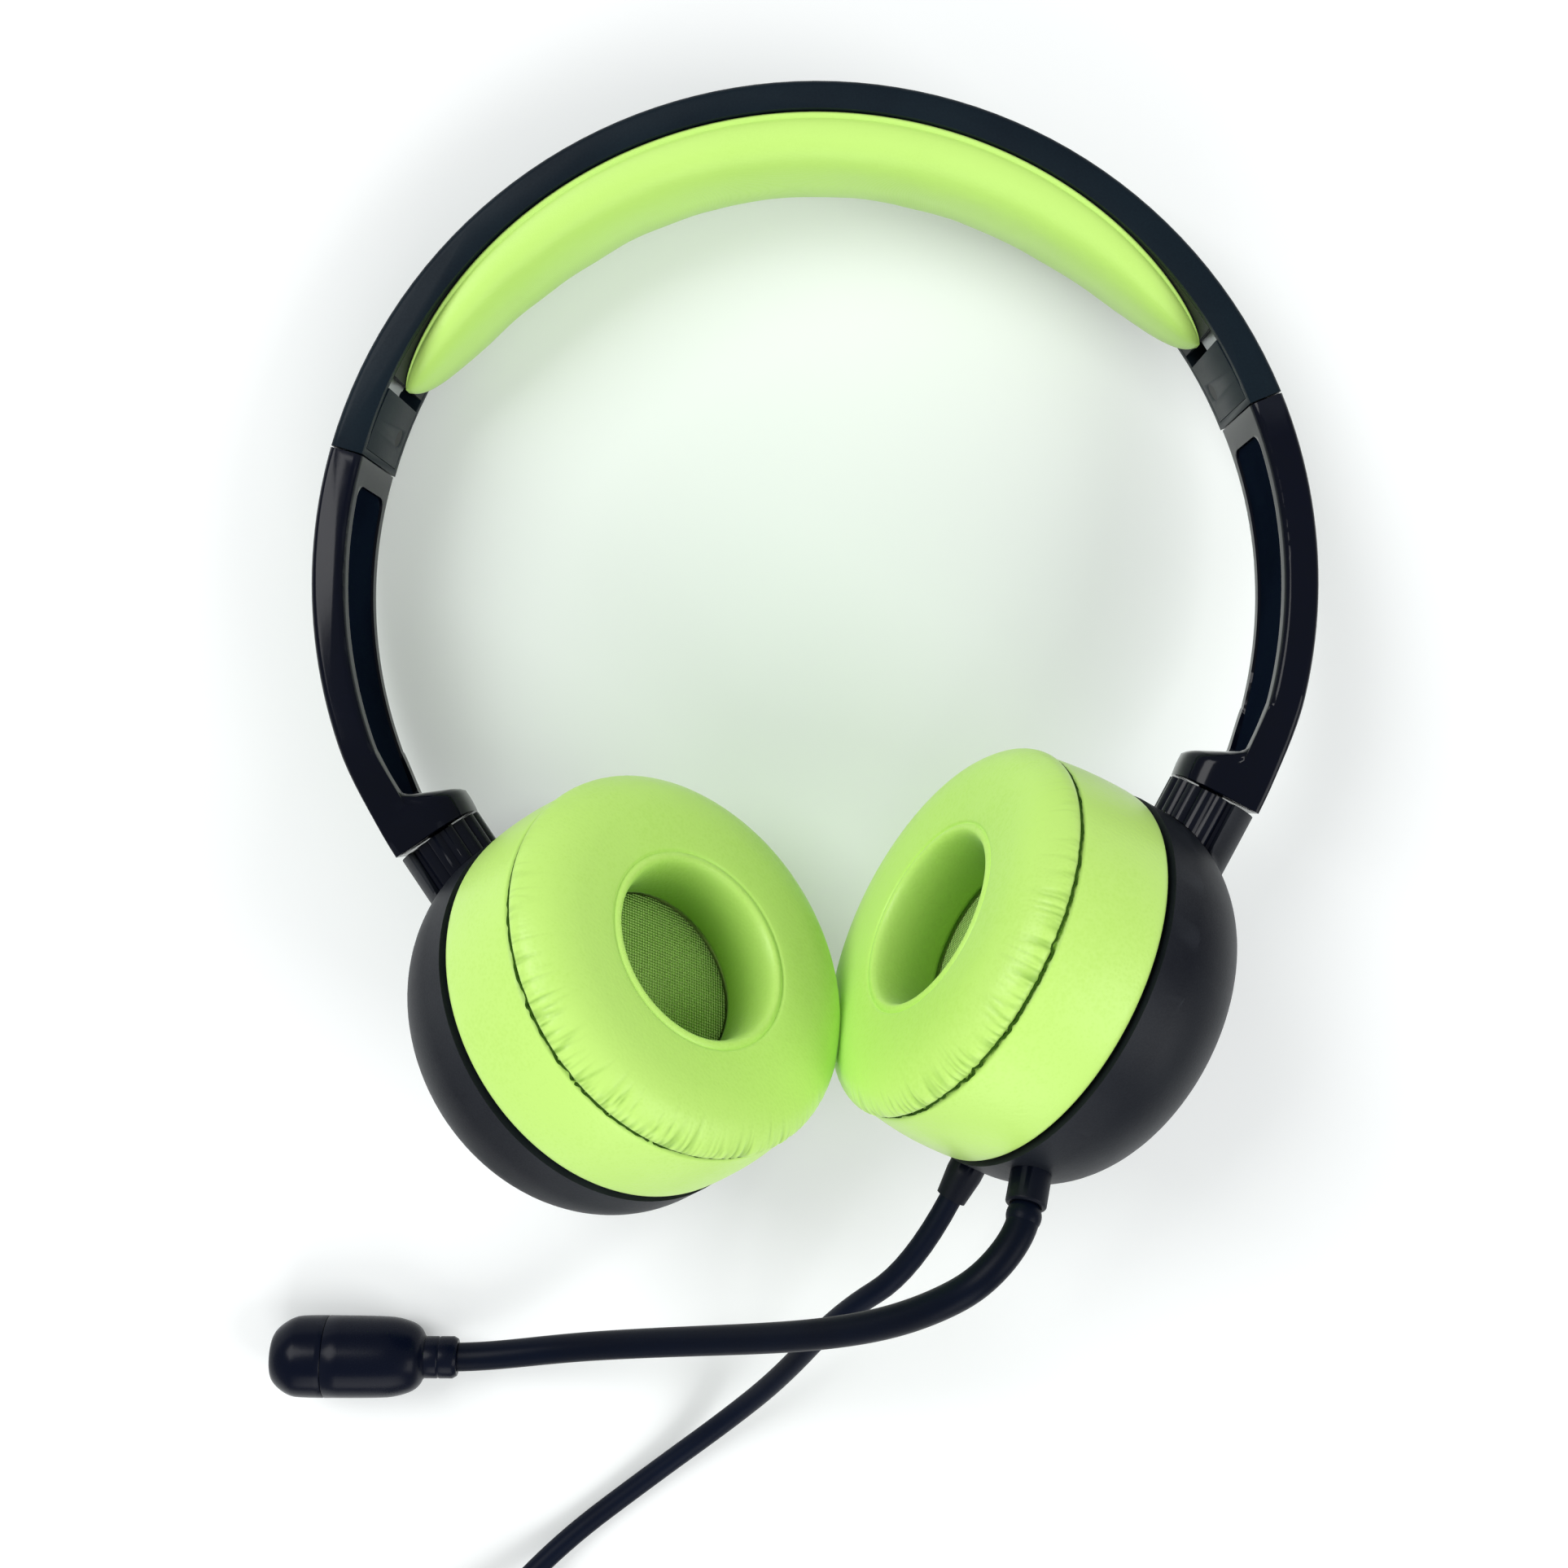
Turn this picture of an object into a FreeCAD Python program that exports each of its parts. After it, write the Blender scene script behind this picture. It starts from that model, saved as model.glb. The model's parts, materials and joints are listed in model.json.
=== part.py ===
import FreeCAD, Part
import math
import os
import Sketcher
from FreeCAD import Placement, Rotation, Vector

# A wired on-ear headset with a bendable boom microphone, lying on a table on the far edge of its
# band and the backs of its two cups.
#
# Row frame: +Z up from the table, +Y towards the top of the band, +X to the wearer's left, which is
# the side with the boom and the cable. The origin lies on the table under the middle of the object,
# with its cord left out.
# Head frame: the rigid pieces are drawn with the band's circle in the XY plane, its centre at the
# origin and the wearer's front along +Z. One resting placement then lays them all on the table.
# Cup frame: Z points from a cup to the ear, Y up its neck to the arm, X across.

doc = FreeCAD.newDocument("headset")
sheet = doc.addObject("Spreadsheet::Sheet", "Sizes")


class Size:
    """A length or angle, as a number and as the expression of sheet cells that gives it."""

    def __init__(self, value, text):
        self.value = value
        self.text = text

    def join(self, other, mark, result):
        return Size(result, f"({self.text} {mark} {sized(other).text})")

    def __add__(self, other):
        return self.join(other, "+", self.value + sized(other).value)

    def __sub__(self, other):
        return self.join(other, "-", self.value - sized(other).value)

    def __mul__(self, other):
        return self.join(other, "*", self.value * sized(other).value)

    def __truediv__(self, other):
        return self.join(other, "/", self.value / sized(other).value)

    def __radd__(self, other):
        return sized(other) + self

    def __rsub__(self, other):
        return sized(other) - self

    def __rmul__(self, other):
        return sized(other) * self

    def __neg__(self):
        return Size(-self.value, f"(0 - {self.text})")


def sized(number):
    """A plain number as a Size."""
    if isinstance(number, Size):
        return number
    return Size(float(number), f"({float(number):.6f})")


def sine(angle):
    angle = sized(angle)
    return Size(math.sin(math.radians(angle.value)), f"sin({angle.text})")


def cosine(angle):
    angle = sized(angle)
    return Size(math.cos(math.radians(angle.value)), f"cos({angle.text})")


def root(size):
    return Size(math.sqrt(size.value), f"sqrt({size.text})")


cells = []


def size(alias, value, note):
    """Put one driving dimension into the sheet and return it."""
    row = len(cells) + 1
    cells.append(alias)
    sheet.set(f"A{row}", str(value))
    sheet.setAlias(f"A{row}", alias)
    sheet.set(f"B{row}", note)
    return Size(float(value), f"Sizes.{alias}")


# Band
band_radius = size("band_radius", 81, "outer radius of band and arms")
band_width = size("band_width", 22, "width of band, arms and necks")
band_top = size("band_top", 4.7, "thickness of the band at its top")
band_end = size("band_end", 5.5, "thickness of the band at its ends and of the arms")
band_skin = size("band_skin", 1.4, "thickness of the band's outer wall")
band_side = size("band_side", 1.5, "thickness of the band's side walls")
end_wall = size("end_wall", 1.2, "thickness of the wall that closes each band end")
part_angle = size("part_angle", 70.7, "angle from the top to the parting between band and arm")
edge_round = size("edge_round", 1.2, "rounding of the long outer edges")
part_gap = size("part_gap", 0.3, "gap at the parting between band and arm")
fit_gap = size("fit_gap", 0.1, "clearance round a piece that is let into another")
backing_thick = size("backing_thick", 1.2, "thickness of the plate behind the pad")
backing_angle = size("backing_angle", 61.0, "angle from the top to the end of that plate")
spring_thick = size("spring_thick", 0.8, "thickness of the flat spring in the band")
spring_width = size("spring_width", 13.4, "width of the flat spring in the band")
spring_angle = size("spring_angle", 46, "angle from the top to the end of the flat spring")
wire_radius = size("wire_radius", 0.6, "radius of the wire that links the cups")
wire_angle = size("wire_angle", 64, "angle from the top to the end of that wire")
pad_angle = size("pad_angle", 61.2, "angle from the top to the tips of the pad")
pad_rise = size("pad_rise", 8.6, "height of the pad at its middle")
pad_half = size("pad_half", 10.4, "half the width of the pad at its middle")
cover_start = size("cover_start", 61.9, "angle from the top to the start of the end cover")
cover_thick = size("cover_thick", 1.25, "thickness of the end cover")
end_screw_angle = size("end_screw_angle", 66.2, "angle from the top to the end cover's screw")
end_screw_side = size("end_screw_side", -5.6, "place of that screw across the band")
end_screw_head = size("end_screw_head", 1.5, "radius of its head")
end_screw_sink = size("end_screw_sink", 0.7, "depth of its head")
end_screw_shaft = size("end_screw_shaft", 0.8, "radius of its shaft")
end_post = size("end_post", 1.7, "radius of the post that the screw goes into")

# Slide
slide_angle = size("slide_angle", 60.4, "angle from the top to the middle of the slider's slot")
slide_inset = size("slide_inset", 3.4, "depth of the slider's line inside the band's outer radius")
slide_radius = band_radius - slide_inset
slide_side = size("slide_side", 1.8, "place of the slider across the band")
strip_thick = size("strip_thick", 0.8, "thickness of the slider strip")
strip_width = size("strip_width", 9, "width of the slider strip")
strip_half = size("strip_half", 14, "half the straight length of the slider strip")
strip_bend = size("strip_bend", 30, "radius that the strip is bent to inside the arm")
strip_turn = size("strip_turn", 30, "angle that the strip is bent through")
slot_gap = size("slot_gap", 0.3, "clearance of the strip in the band's slot")
notch_radius = size("notch_radius", 0.6, "radius of the notches in the strip's edge")
notch_pitch = size("notch_pitch", 2.5, "distance from notch to notch")
notch_count = 8
leaf_thick = size("leaf_thick", 0.35, "thickness of the detent leaf")
leaf_half = size("leaf_half", 4.2, "half the length of the detent leaf")

# Arm
arm_panel_start = size("arm_panel_start", 74.2, "angle from the top to the start of the arm's panel")
arm_panel_stop = size("arm_panel_stop", 115.6, "angle from the top to the end of the arm's panel")
arm_panel_width = size("arm_panel_width", 16, "width of the panel let into the arm")
arm_panel_depth = size("arm_panel_depth", 1.5, "depth of the recess for the panel")
arm_panel_sunk = size("arm_panel_sunk", 0.4, "how far the panel lies below the arm's inner face")
flare_start = size("flare_start", 107.5, "angle from the top to where the arm starts to thicken")
long_edge = 14  # Only edges of an arm longer than this are rounded
flare_radius = size("flare_radius", 16.5, "radius of the hollow curve into the thick end")

# Neck and swivel
neck_angle = size("neck_angle", 120.0, "angle from the top to the gap between arm and neck")
neck_inset = size("neck_inset", 7.2, "depth of the swivel axis there inside the band's outer radius")
neck_radius = band_radius - neck_inset
neck_lean = size("neck_lean", 31, "lean of the swivel axis from the band's own axis")
neck_gap = size("neck_gap", 0.45, "gap between the arm's end and the neck")
neck_in = size("neck_in", 6.7, "arm end's extent towards the head from the swivel axis")
arm_out = size("arm_out", 7.0, "arm end's extent away from the head from the swivel axis")
barrel_radius = size("barrel_radius", 7.0, "radius of the swivel barrel over its flutes")
flute_depth = size("flute_depth", 0.45, "depth between the barrel's flutes")
flute_count = 16
sleeve_radius = size("sleeve_radius", 7.9, "outer radius of the shell's half sleeve behind the barrel")
sleeve_edge = size("sleeve_edge", 0.5, "distance of the sleeve's edges behind the swivel axis")
sleeve_root = size("sleeve_root", 18, "height in the cup where that sleeve starts")
sleeve_blend = size("sleeve_blend", 2, "radius of the blend between sleeve and dome")
stud_radius = size("stud_radius", 2.2, "radius of the swivel stud")
stud_gap = size("stud_gap", 0.05, "radial clearance of the stud in the arm")
stud_length = size("stud_length", 4.7, "length of the stud above the gap")
clip_start = size("clip_start", 3.2, "height of the clip's groove above the gap")
clip_thick = size("clip_thick", 0.7, "thickness of the retaining clip")
clip_radius = size("clip_radius", 3.2, "outer radius of the retaining clip")
groove_depth = size("groove_depth", 0.5, "depth of the clip's groove")
clip_room = size("clip_room", 0.2, "clearance round the clip in the arm")

# Cups
cup_drop = size("cup_drop", 39.5, "distance from the gap to the middle of the cup")
cup_radius = size("cup_radius", 33.0, "radius of the cup shell at its rim")
cup_back = size("cup_back", 9.8, "depth of the shell behind the swivel axis")
cup_run = size("cup_run", 17.2, "width of the dome from the flat middle of the back to the rim")
cup_flat = cup_radius - cup_run
cup_shoulder = size("cup_shoulder", 7.4, "height where the shell's dome meets its rim")
cup_rim = size("cup_rim", 12.0, "height of the shell's rim in front of the swivel axis")
cup_wall = size("cup_wall", 1.8, "thickness of the shell's wall")
left_swivel = size("left_swivel", 37, "angle of the wearer's right cup at rest, 0 facing inwards")
right_swivel = size("right_swivel", 20, "angle of the wearer's left cup at rest")
baffle_thick = size("baffle_thick", 1.8, "thickness of the baffle")
boss_radius = size("boss_radius", 15.8, "radius of the baffle's raised middle")
boss_rise = size("boss_rise", 4.1, "height of that middle above the baffle")
boss_skin = size("boss_skin", 1.0, "thickness of its top")
boss_bore = size("boss_bore", 14.1, "radius of its hollow")
port_radius = size("port_radius", 1.3, "radius of the baffle's sound holes")
port_circle = size("port_circle", 8.5, "radius of the circle of sound holes")
port_count = 8
ring_thick = size("ring_thick", 0.6, "thickness of the ring that clamps the cushion")
ring_inner = size("ring_inner", 17.2, "inner radius of that ring")
ring_inset = size("ring_inset", 2.0, "how far that ring stays inside the shell's radius")
ring_outer = cup_radius - ring_inset
frame_radius = size("frame_radius", 13.8, "radius of the driver's frame")
frame_flange = size("frame_flange", 16.5, "radius of the frame's flange")
frame_depth = size("frame_depth", 4.4, "depth of the frame behind the baffle")
frame_wall = size("frame_wall", 1.0, "wall of the frame")
magnet_radius = size("magnet_radius", 8.6, "radius of the driver's magnet")
magnet_depth = size("magnet_depth", 4.2, "depth of the magnet")
cone_radius = size("cone_radius", 12.6, "radius of the diaphragm")
cone_thick = size("cone_thick", 0.35, "thickness of the diaphragm")
cone_rise = size("cone_rise", 1.0, "height of the diaphragm's middle over its edge")
cloth_thick = size("cloth_thick", 0.5, "thickness of the speaker cloth")
cloth_radius = size("cloth_radius", 16.0, "radius of the speaker cloth")
cup_screw_inset = size("cup_screw_inset", 6.6, "how far the cup screws stand inside the shell's radius")
cup_screw_circle = cup_radius - cup_screw_inset
cup_screw_shaft = size("cup_screw_shaft", 1.1, "radius of a cup screw's shaft")
cup_screw_head = size("cup_screw_head", 2.1, "radius of a cup screw's head")
cup_screw_length = size("cup_screw_length", 7.5, "length of a cup screw's shaft")
cup_screw_count = 3
cup_post = size("cup_post", 2.6, "radius of the posts that the cup screws go into")

# Cushions
seam_height = size("seam_height", 28.8, "height of the outer seam in front of the swivel axis")
seam_inset = size("seam_inset", 2.2, "how far the outer seam is inside the shell's radius")
seam_radius = cup_radius - seam_inset
foot_inset = size("foot_inset", 2.7, "how far the cushion's foot is inside the shell's radius")
cushion_foot = cup_radius - foot_inset
crown_rise = size("crown_rise", 5.9, "height of the crown over the outer seam")
crown_inset = size("crown_inset", 9, "how far the top of the crown is inside the shell's radius")
crown_radius = cup_radius - crown_inset
well_seam = size("well_seam", 16.9, "radius of the seam round the ear well")
well_drop = size("well_drop", 1.4, "depth of that seam below the crown")
well_radius = size("well_radius", 14.9, "radius of the ear well")
well_foot = size("well_foot", 15.3, "radius of the ear well at its bottom")
seam_notch = size("seam_notch", 0.5, "depth of a seam")

# Boom and microphone
boom_boot_angle = size("boom_boot_angle", 34, "angle of the boom's boot round the rim from its bottom")
boot_height = size("boot_height", 7.0, "height of both boots in front of the swivel axis")
boom_boot_radius = size("boom_boot_radius", 3.2, "radius of the boom's boot")
boom_boot_length = size("boom_boot_length", 5.2, "length of the boom's boot outside the shell")
boom_radius = size("boom_radius", 2.5, "radius of the boom")
boom_straight = size("boom_straight", 3, "straight length of the boom at its foot")
ball_out = size("ball_out", 1.6, "distance of the boom's ball outside its boot")
ball_radius = size("ball_radius", 2.75, "radius of the ball at the foot of the boom")
ball_gap = size("ball_gap", 0.25, "clearance of the ball in its seat")
cable_boot_radius = size("cable_boot_radius", 3.0, "radius of the cable's boot at the shell")
cable_boot_tip = size("cable_boot_tip", 2.5, "radius of the cable's boot at its end")
cable_boot_length = size("cable_boot_length", 6.4, "length of the cable's boot outside the shell")
cable_radius = size("cable_radius", 1.9, "radius of the cable")
cable_straight = size("cable_straight", 13.5, "straight length of the cable out of its boot")
board_thick = size("board_thick", 1.0, "thickness of the terminal board")
board_height = size("board_height", 4.0, "height of the terminal board in front of the swivel axis")
board_inset = size("board_inset", 11, "how far the middle of the board is inside the shell's radius")
board_drop = cup_radius - board_inset
board_width = size("board_width", 13, "width of the terminal board")
board_length = size("board_length", 8, "length of the terminal board")
board_post = size("board_post", 1.2, "radius of the posts under the board")
board_post_side = size("board_post_side", 5, "distance of those posts from the middle of the board")
mic_radius = size("mic_radius", 7.1, "radius of the microphone's housing")
mic_length = size("mic_length", 27.4, "length of the microphone's housing and cap")
mic_taper = size("mic_taper", 7, "length of the housing's tapered end")
mic_wall = size("mic_wall", 1.4, "wall of the housing and its cap")
mic_part = size("mic_part", 17.5, "distance from the housing's start to its cap")
mic_element_radius = size("mic_element_radius", 4.5, "radius of the microphone element")
mic_element_length = size("mic_element_length", 5, "length of the microphone element")
collar_radius = size("collar_radius", 3.65, "radius of the collar on the boom")
collar_length = size("collar_length", 5.8, "length of the collar on the boom")
collar_grip = size("collar_grip", 3, "depth that the boom goes into the collar")
sound_port = size("sound_port", 0.8, "radius of the microphone's sound port")
sound_port_place = size("sound_port_place", 19.3, "distance from the housing's start to the port")
sound_port_turn = size("sound_port_turn", 40, "angle of the port from the top of the housing")

# Coil, tie and plug
coil_inner = size("coil_inner", 12.2, "inner turn's radius, at the middle of the cable")
coil_pitch = size("coil_pitch", 4.35, "distance from turn to turn")
coil_layer = size("coil_layer", 4.3, "distance from layer to layer")
coil_entry = size("coil_entry", 129, "angle round the coil where the cable comes in")
coil_rise = size("coil_rise", 0.7, "height of the coil over the table, on its tie")
layer_turns = 4.5
tie_thick = size("tie_thick", 0.6, "thickness of the coil's tie")
tie_width = size("tie_width", 8, "width of the coil's tie")
tie_room = size("tie_room", 0.15, "clearance of the coil in its tie")
inlet_straight = size("inlet_straight", 20, "straight length of the cable before its coil")
tail_length = size("tail_length", 24, "length of the cable between coil and plug")
plug_sleeve_length = size("plug_sleeve_length", 9, "length of the plug's strain relief")
plug_body_length = size("plug_body_length", 15, "length of the plug's grip")
plug_body_radius = size("plug_body_radius", 3.9, "radius of the plug's grip")
jack_radius = size("jack_radius", 1.75, "radius of the jack")
jack_length = size("jack_length", 14, "length of the jack")
jack_core = size("jack_core", 0.9, "radius of the jack's core between its contacts")
jack_shoulder = size("jack_shoulder", 2.9, "radius of the shoulder behind the jack")
jack_ring = size("jack_ring", 2.1, "length of a contact ring")
jack_gap = size("jack_gap", 0.9, "length of an insulating ring")

# Rest on the table
lay_pitch = size("lay_pitch", -6.079, "turn about X that lays the headset down")
lay_roll = size("lay_roll", -3.470, "turn about Y that lays the headset down")
lay_across = size("lay_across", 11.124, "place of the band's centre in the row frame, X")
lay_along = size("lay_along", 29.003, "place of the band's centre in the row frame, Y")
lay_lift = size("lay_lift", 20.647, "height of the band's centre over the table")

doc.recompute()

W = band_width
HERE = Placement()


def bind(thing, **fields):
    """Tie fields of an object to sizes of the sheet."""
    for field, amount in fields.items():
        setattr(thing, field, sized(amount).value)
        if isinstance(amount, Size):
            thing.setExpression(field, amount.text)
    return thing


def spot(x, y, z):
    return Vector(sized(x).value, sized(y).value, sized(z).value)


def along(direction, base=Vector(0, 0, 0)):
    """A placement at base whose Z axis points along direction."""
    return Placement(base, Rotation(Vector(0, 0, 1), direction))


def origin_plane(body, role):
    return next(item for item in body.Origin.OriginFeatures if item.Role == role)


def outline(body, name, role, corners, arcs=None, height=None):
    """A closed sketch through corners, each tied to its sizes. arcs gives, for the number of the
    corner where an edge starts, the radius of that edge: positive turns left, negative right."""
    arcs = arcs or {}
    sketch = body.newObject("Sketcher::SketchObject", name)
    sketch.AttachmentSupport = [(origin_plane(body, role), "")]
    sketch.MapMode = "FlatFace"
    if height is not None:
        sketch.AttachmentOffset = Placement(Vector(0, 0, sized(height).value), Rotation())
        if isinstance(height, Size):
            sketch.setExpression("AttachmentOffset.Base.z", height.text)
    corners = [(sized(x), sized(y)) for x, y in corners]
    points = [Vector(x.value, y.value, 0) for x, y in corners]
    ends = []
    for number, start in enumerate(points):
        stop = points[(number + 1) % len(points)]
        if number not in arcs:
            sketch.addGeometry(Part.LineSegment(start, stop), False)
            ends.append((1, 2))
            continue
        radius = arcs[number].value
        chord = stop - start
        side = Vector(-chord.y, chord.x, 0).normalize() * math.copysign(1, radius)
        centre = (start + stop) * 0.5 + side * math.sqrt(max(radius**2 - chord.Length**2 / 4, 0))
        first, last = (start, stop) if radius > 0 else (stop, start)
        from_x = math.atan2(first.y - centre.y, first.x - centre.x)
        to_x = math.atan2(last.y - centre.y, last.x - centre.x)
        circle = Part.Circle(centre, Vector(0, 0, 1), abs(radius))
        sketch.addGeometry(Part.ArcOfCircle(circle, from_x, to_x), False)
        ends.append((1, 2) if radius > 0 else (2, 1))
    rule = Sketcher.Constraint
    for number in range(len(points)):
        after = (number + 1) % len(points)
        sketch.addConstraint(rule("Coincident", number, ends[number][1], after, ends[after][0]))
    for number, corner in enumerate(corners):
        for kind, amount in zip(("DistanceX", "DistanceY"), corner):
            index = sketch.addConstraint(rule(kind, -1, 1, number, ends[number][0], amount.value))
            sketch.setExpression(f"Constraints[{index}]", amount.text)
    for number, radius in arcs.items():
        index = sketch.addConstraint(rule("Radius", number, abs(radius.value)))
        sketch.setExpression(f"Constraints[{index}]", (radius if radius.value > 0 else -radius).text)
    return sketch


def prism(name, role, corners, length, arcs=None, height=None):
    """A body padded from an outline, to both sides of it unless a height is given."""
    body = doc.addObject("PartDesign::Body", name)
    pad = body.newObject("PartDesign::Pad", name + "_pad")
    pad.Profile = outline(body, name + "_outline", role, corners, arcs, height)
    pad.Midplane = height is None
    bind(pad, Length=length)
    doc.recompute()
    return body


def turned(name, corners, arcs=None):
    """A body revolved about Z from an outline given as distance from Z and height."""
    body = doc.addObject("PartDesign::Body", name)
    turn = body.newObject("PartDesign::Revolution", name + "_turn")
    turn.Profile = outline(body, name + "_outline", "XZ_Plane", corners, arcs)
    turn.ReferenceAxis = (turn.Profile[0], ["V_Axis"])
    turn.Angle = 360
    doc.recompute()
    return body


def rounded(body, radius, wanted):
    """Round those edges of a body that the test wanted picks."""
    solid = body.Tip
    edges = [f"Edge{n + 1}" for n, edge in enumerate(solid.Shape.Edges) if wanted(edge)]
    fillet = body.newObject("PartDesign::Fillet", solid.Name + "_round")
    fillet.Base = (solid, edges)
    bind(fillet, Radius=radius)
    doc.recompute()
    return body


def level(edge, height):
    """True for an edge that lies flat at one of the heights plus or minus height."""
    box = edge.BoundBox
    return box.ZLength < 0.01 and abs(abs(box.ZMin) - sized(height).value) < 0.01


def rod(name, radius, height, place=HERE):
    thing = bind(doc.addObject("Part::Cylinder", name), Radius=radius, Height=height)
    thing.Placement = place
    return thing


def block(name, length, width, height, place=HERE):
    """A box with its middle at the place."""
    thing = bind(doc.addObject("Part::Box", name), Length=length, Width=width, Height=height)
    middle = spot(-0.5 * sized(length), -0.5 * sized(width), -0.5 * sized(height))
    thing.Placement = place.multiply(Placement(middle, Rotation()))
    return thing


def fused(name, *pieces):
    thing = doc.addObject("Part::MultiFuse", name)
    thing.Shapes = list(pieces)
    return thing


def cut(name, base, *tools):
    for number, tool in enumerate(tools):
        last = number == len(tools) - 1
        thing = doc.addObject("Part::Cut", name if last else f"{name}_less_{tool.Name}")
        thing.Base = base
        thing.Tool = tool
        base = thing
    return base


def arc_between(start, corner, stop):
    """The arc that leaves start towards corner and reaches stop from it, both as far from it."""
    middle = (start + stop) * 0.5
    rise = (corner - middle).Length
    half = 0.5 * (stop - start).Length
    if rise < 1e-4 * half:
        return Part.makeLine(start, stop)
    sagitta = half * math.tan(0.5 * math.atan2(rise, half))
    return Part.Arc(start, middle + (corner - middle) * (sagitta / rise), stop).toShape()


def biarcs(points, directions):
    """Pairs of arcs that run through the points in the directions given there."""
    edges = []
    for start, stop, leave, reach in zip(points, points[1:], directions, directions[1:]):
        chord = stop - start
        both = leave + reach
        square = 2 - 2 * leave.dot(reach)
        linear = chord.dot(both)
        if abs(square) < 1e-9:
            arm = chord.dot(chord) / (2 * linear)
        else:
            arm = (math.sqrt(linear**2 + square * chord.dot(chord)) - linear) / square
        first = start + leave * arm
        second = stop - reach * arm
        join = (first + second) * 0.5
        edges.append(arc_between(start, first, join))
        edges.append(arc_between(join, second, stop))
    return edges


def free_directions(points, leave, reach):
    """A direction at each point of a bent rod: given at its ends, and between them the one of the
    circle through the point and its two neighbours."""
    directions = [leave.normalize()]
    for before, here, after in zip(points, points[1:], points[2:]):
        back, ahead = here - before, after - here
        mean = back * (ahead.Length / back.Length) + ahead * (back.Length / ahead.Length)
        directions.append(mean.normalize())
    return directions + [reach.normalize()]


def cord_edges(points, diameter):
    """Straight runs joined by tangent arcs, each as large as its two runs allow."""
    edges = []
    radii = []
    here = points[0]
    for before, corner, after in zip(points, points[1:], points[2:]):
        back, ahead = corner - before, after - corner
        turn = back.getAngle(ahead)
        reach = 0.45 * min(back.Length, ahead.Length)
        start = corner - back.normalize() * reach
        stop = corner + ahead.normalize() * reach
        radii.append(reach / math.tan(0.5 * turn) / diameter)
        edges += [Part.makeLine(here, start), arc_between(start, corner, stop)]
        here = stop
    edges.append(Part.makeLine(here, points[-1]))
    print("radii in diameters:", " ".join(f"{radius:.1f}" for radius in radii))
    return edges


def tube(name, edges, radius):
    """A round rod along edges that run on from one to the next."""
    path = Part.Wire(edges)
    first = edges[0]
    start = first.valueAt(first.FirstParameter)
    circle = Part.Circle(start, first.tangentAt(first.FirstParameter), radius)
    shape = Part.BRepOffsetAPI.MakePipeShell(path)
    shape.add(Part.Wire([circle.toShape()]))
    shape.build()
    shape.makeSolid()
    solid = shape.shape()
    if solid.Volume < 0:
        solid.reverse()
    share = solid.Volume / (math.pi * radius**2 * path.Length)
    print(f"{name}: {path.Length:.0f} mm long, volume {share:.4f} of section times length")
    return made(name, solid)


def group(name, pieces):
    thing = doc.addObject("Part::Compound", name)
    thing.Links = list(pieces)
    return thing


def made(name, shape):
    thing = doc.addObject("Part::Feature", name)
    thing.Shape = shape
    return thing


nodes = []


def node(thing, label, place):
    """Name a finished sub-part and put it in its place."""
    thing.Label = label
    thing.Placement = place
    nodes.append(thing)
    return thing


# Frames of the rigid pieces
LAY = Placement(
    spot(lay_across, lay_along, lay_lift),
    Rotation(Vector(0, 1, 0), lay_roll.value) * Rotation(Vector(1, 0, 0), lay_pitch.value),
)


def axes(base, x_axis, y_axis, z_axis):
    """A placement with its origin and axes given."""
    turn = FreeCAD.Matrix(
        x_axis.x, y_axis.x, z_axis.x, 0,
        x_axis.y, y_axis.y, z_axis.y, 0,
        x_axis.z, y_axis.z, z_axis.z, 0,
        0, 0, 0, 1,
    )
    return Placement(base, Placement(turn).Rotation)


def polar(radius, angle, side=1):
    """A point of the head frame, by its angle from the top of the band."""
    return spot(side * radius * sine(angle), radius * cosine(angle), 0)


def neck_axis(side):
    """The direction down a neck, from its arm to its cup."""
    return spot(-side * sine(neck_lean), -cosine(neck_lean), 0)


def slide_frame(side):
    """X along the slide, Z away from the head."""
    out = polar(sized(1), slide_angle, side)
    down = Vector(side * out.y, -side * out.x, 0)
    base = polar(slide_radius, slide_angle, side) + spot(0, 0, slide_side)
    return axes(base, down, out.cross(down), out)


def cup_frame(side, swivel):
    """The frame of a cup that is turned by swivel from facing inwards."""
    down = neck_axis(side)
    inward = spot(-side * cosine(neck_lean), sine(neck_lean), 0)
    ear = inward * cosine(swivel).value + Vector(0, 0, 1) * sine(swivel).value
    base = polar(neck_radius, neck_angle, side) + down * cup_drop.value
    up = down * -1
    return axes(base, up.cross(ear), up, ear)


SIDES = {"left": (-1, left_swivel), "right": (1, right_swivel)}

# Inner curve of the band: an arc through the band's inner face at its top and at both ends
end_x = (band_radius - band_end) * sine(part_angle)
end_y = (band_radius - band_end) * cosine(part_angle)
top_y = band_radius - band_top
inner_centre = (top_y * top_y - end_x * end_x - end_y * end_y) / (2 * (top_y - end_y))
inner_radius = top_y - inner_centre


def inner_point(depth, angle, side=1):
    """A point at a depth outside the band's inner curve."""
    return (
        side * (inner_radius + depth) * sine(angle),
        inner_centre + (inner_radius + depth) * cosine(angle),
    )


def sector(radius, angle, side=1):
    return side * radius * sine(angle), radius * cosine(angle)


def band_outline(inner, outer, angle):
    """Corners and arcs of a band between two radii about the origin."""
    corners = [sector(outer, angle, -1), sector(outer, angle), sector(inner, angle), sector(inner, angle, -1)]
    return corners, {0: -outer, 2: inner}


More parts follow.
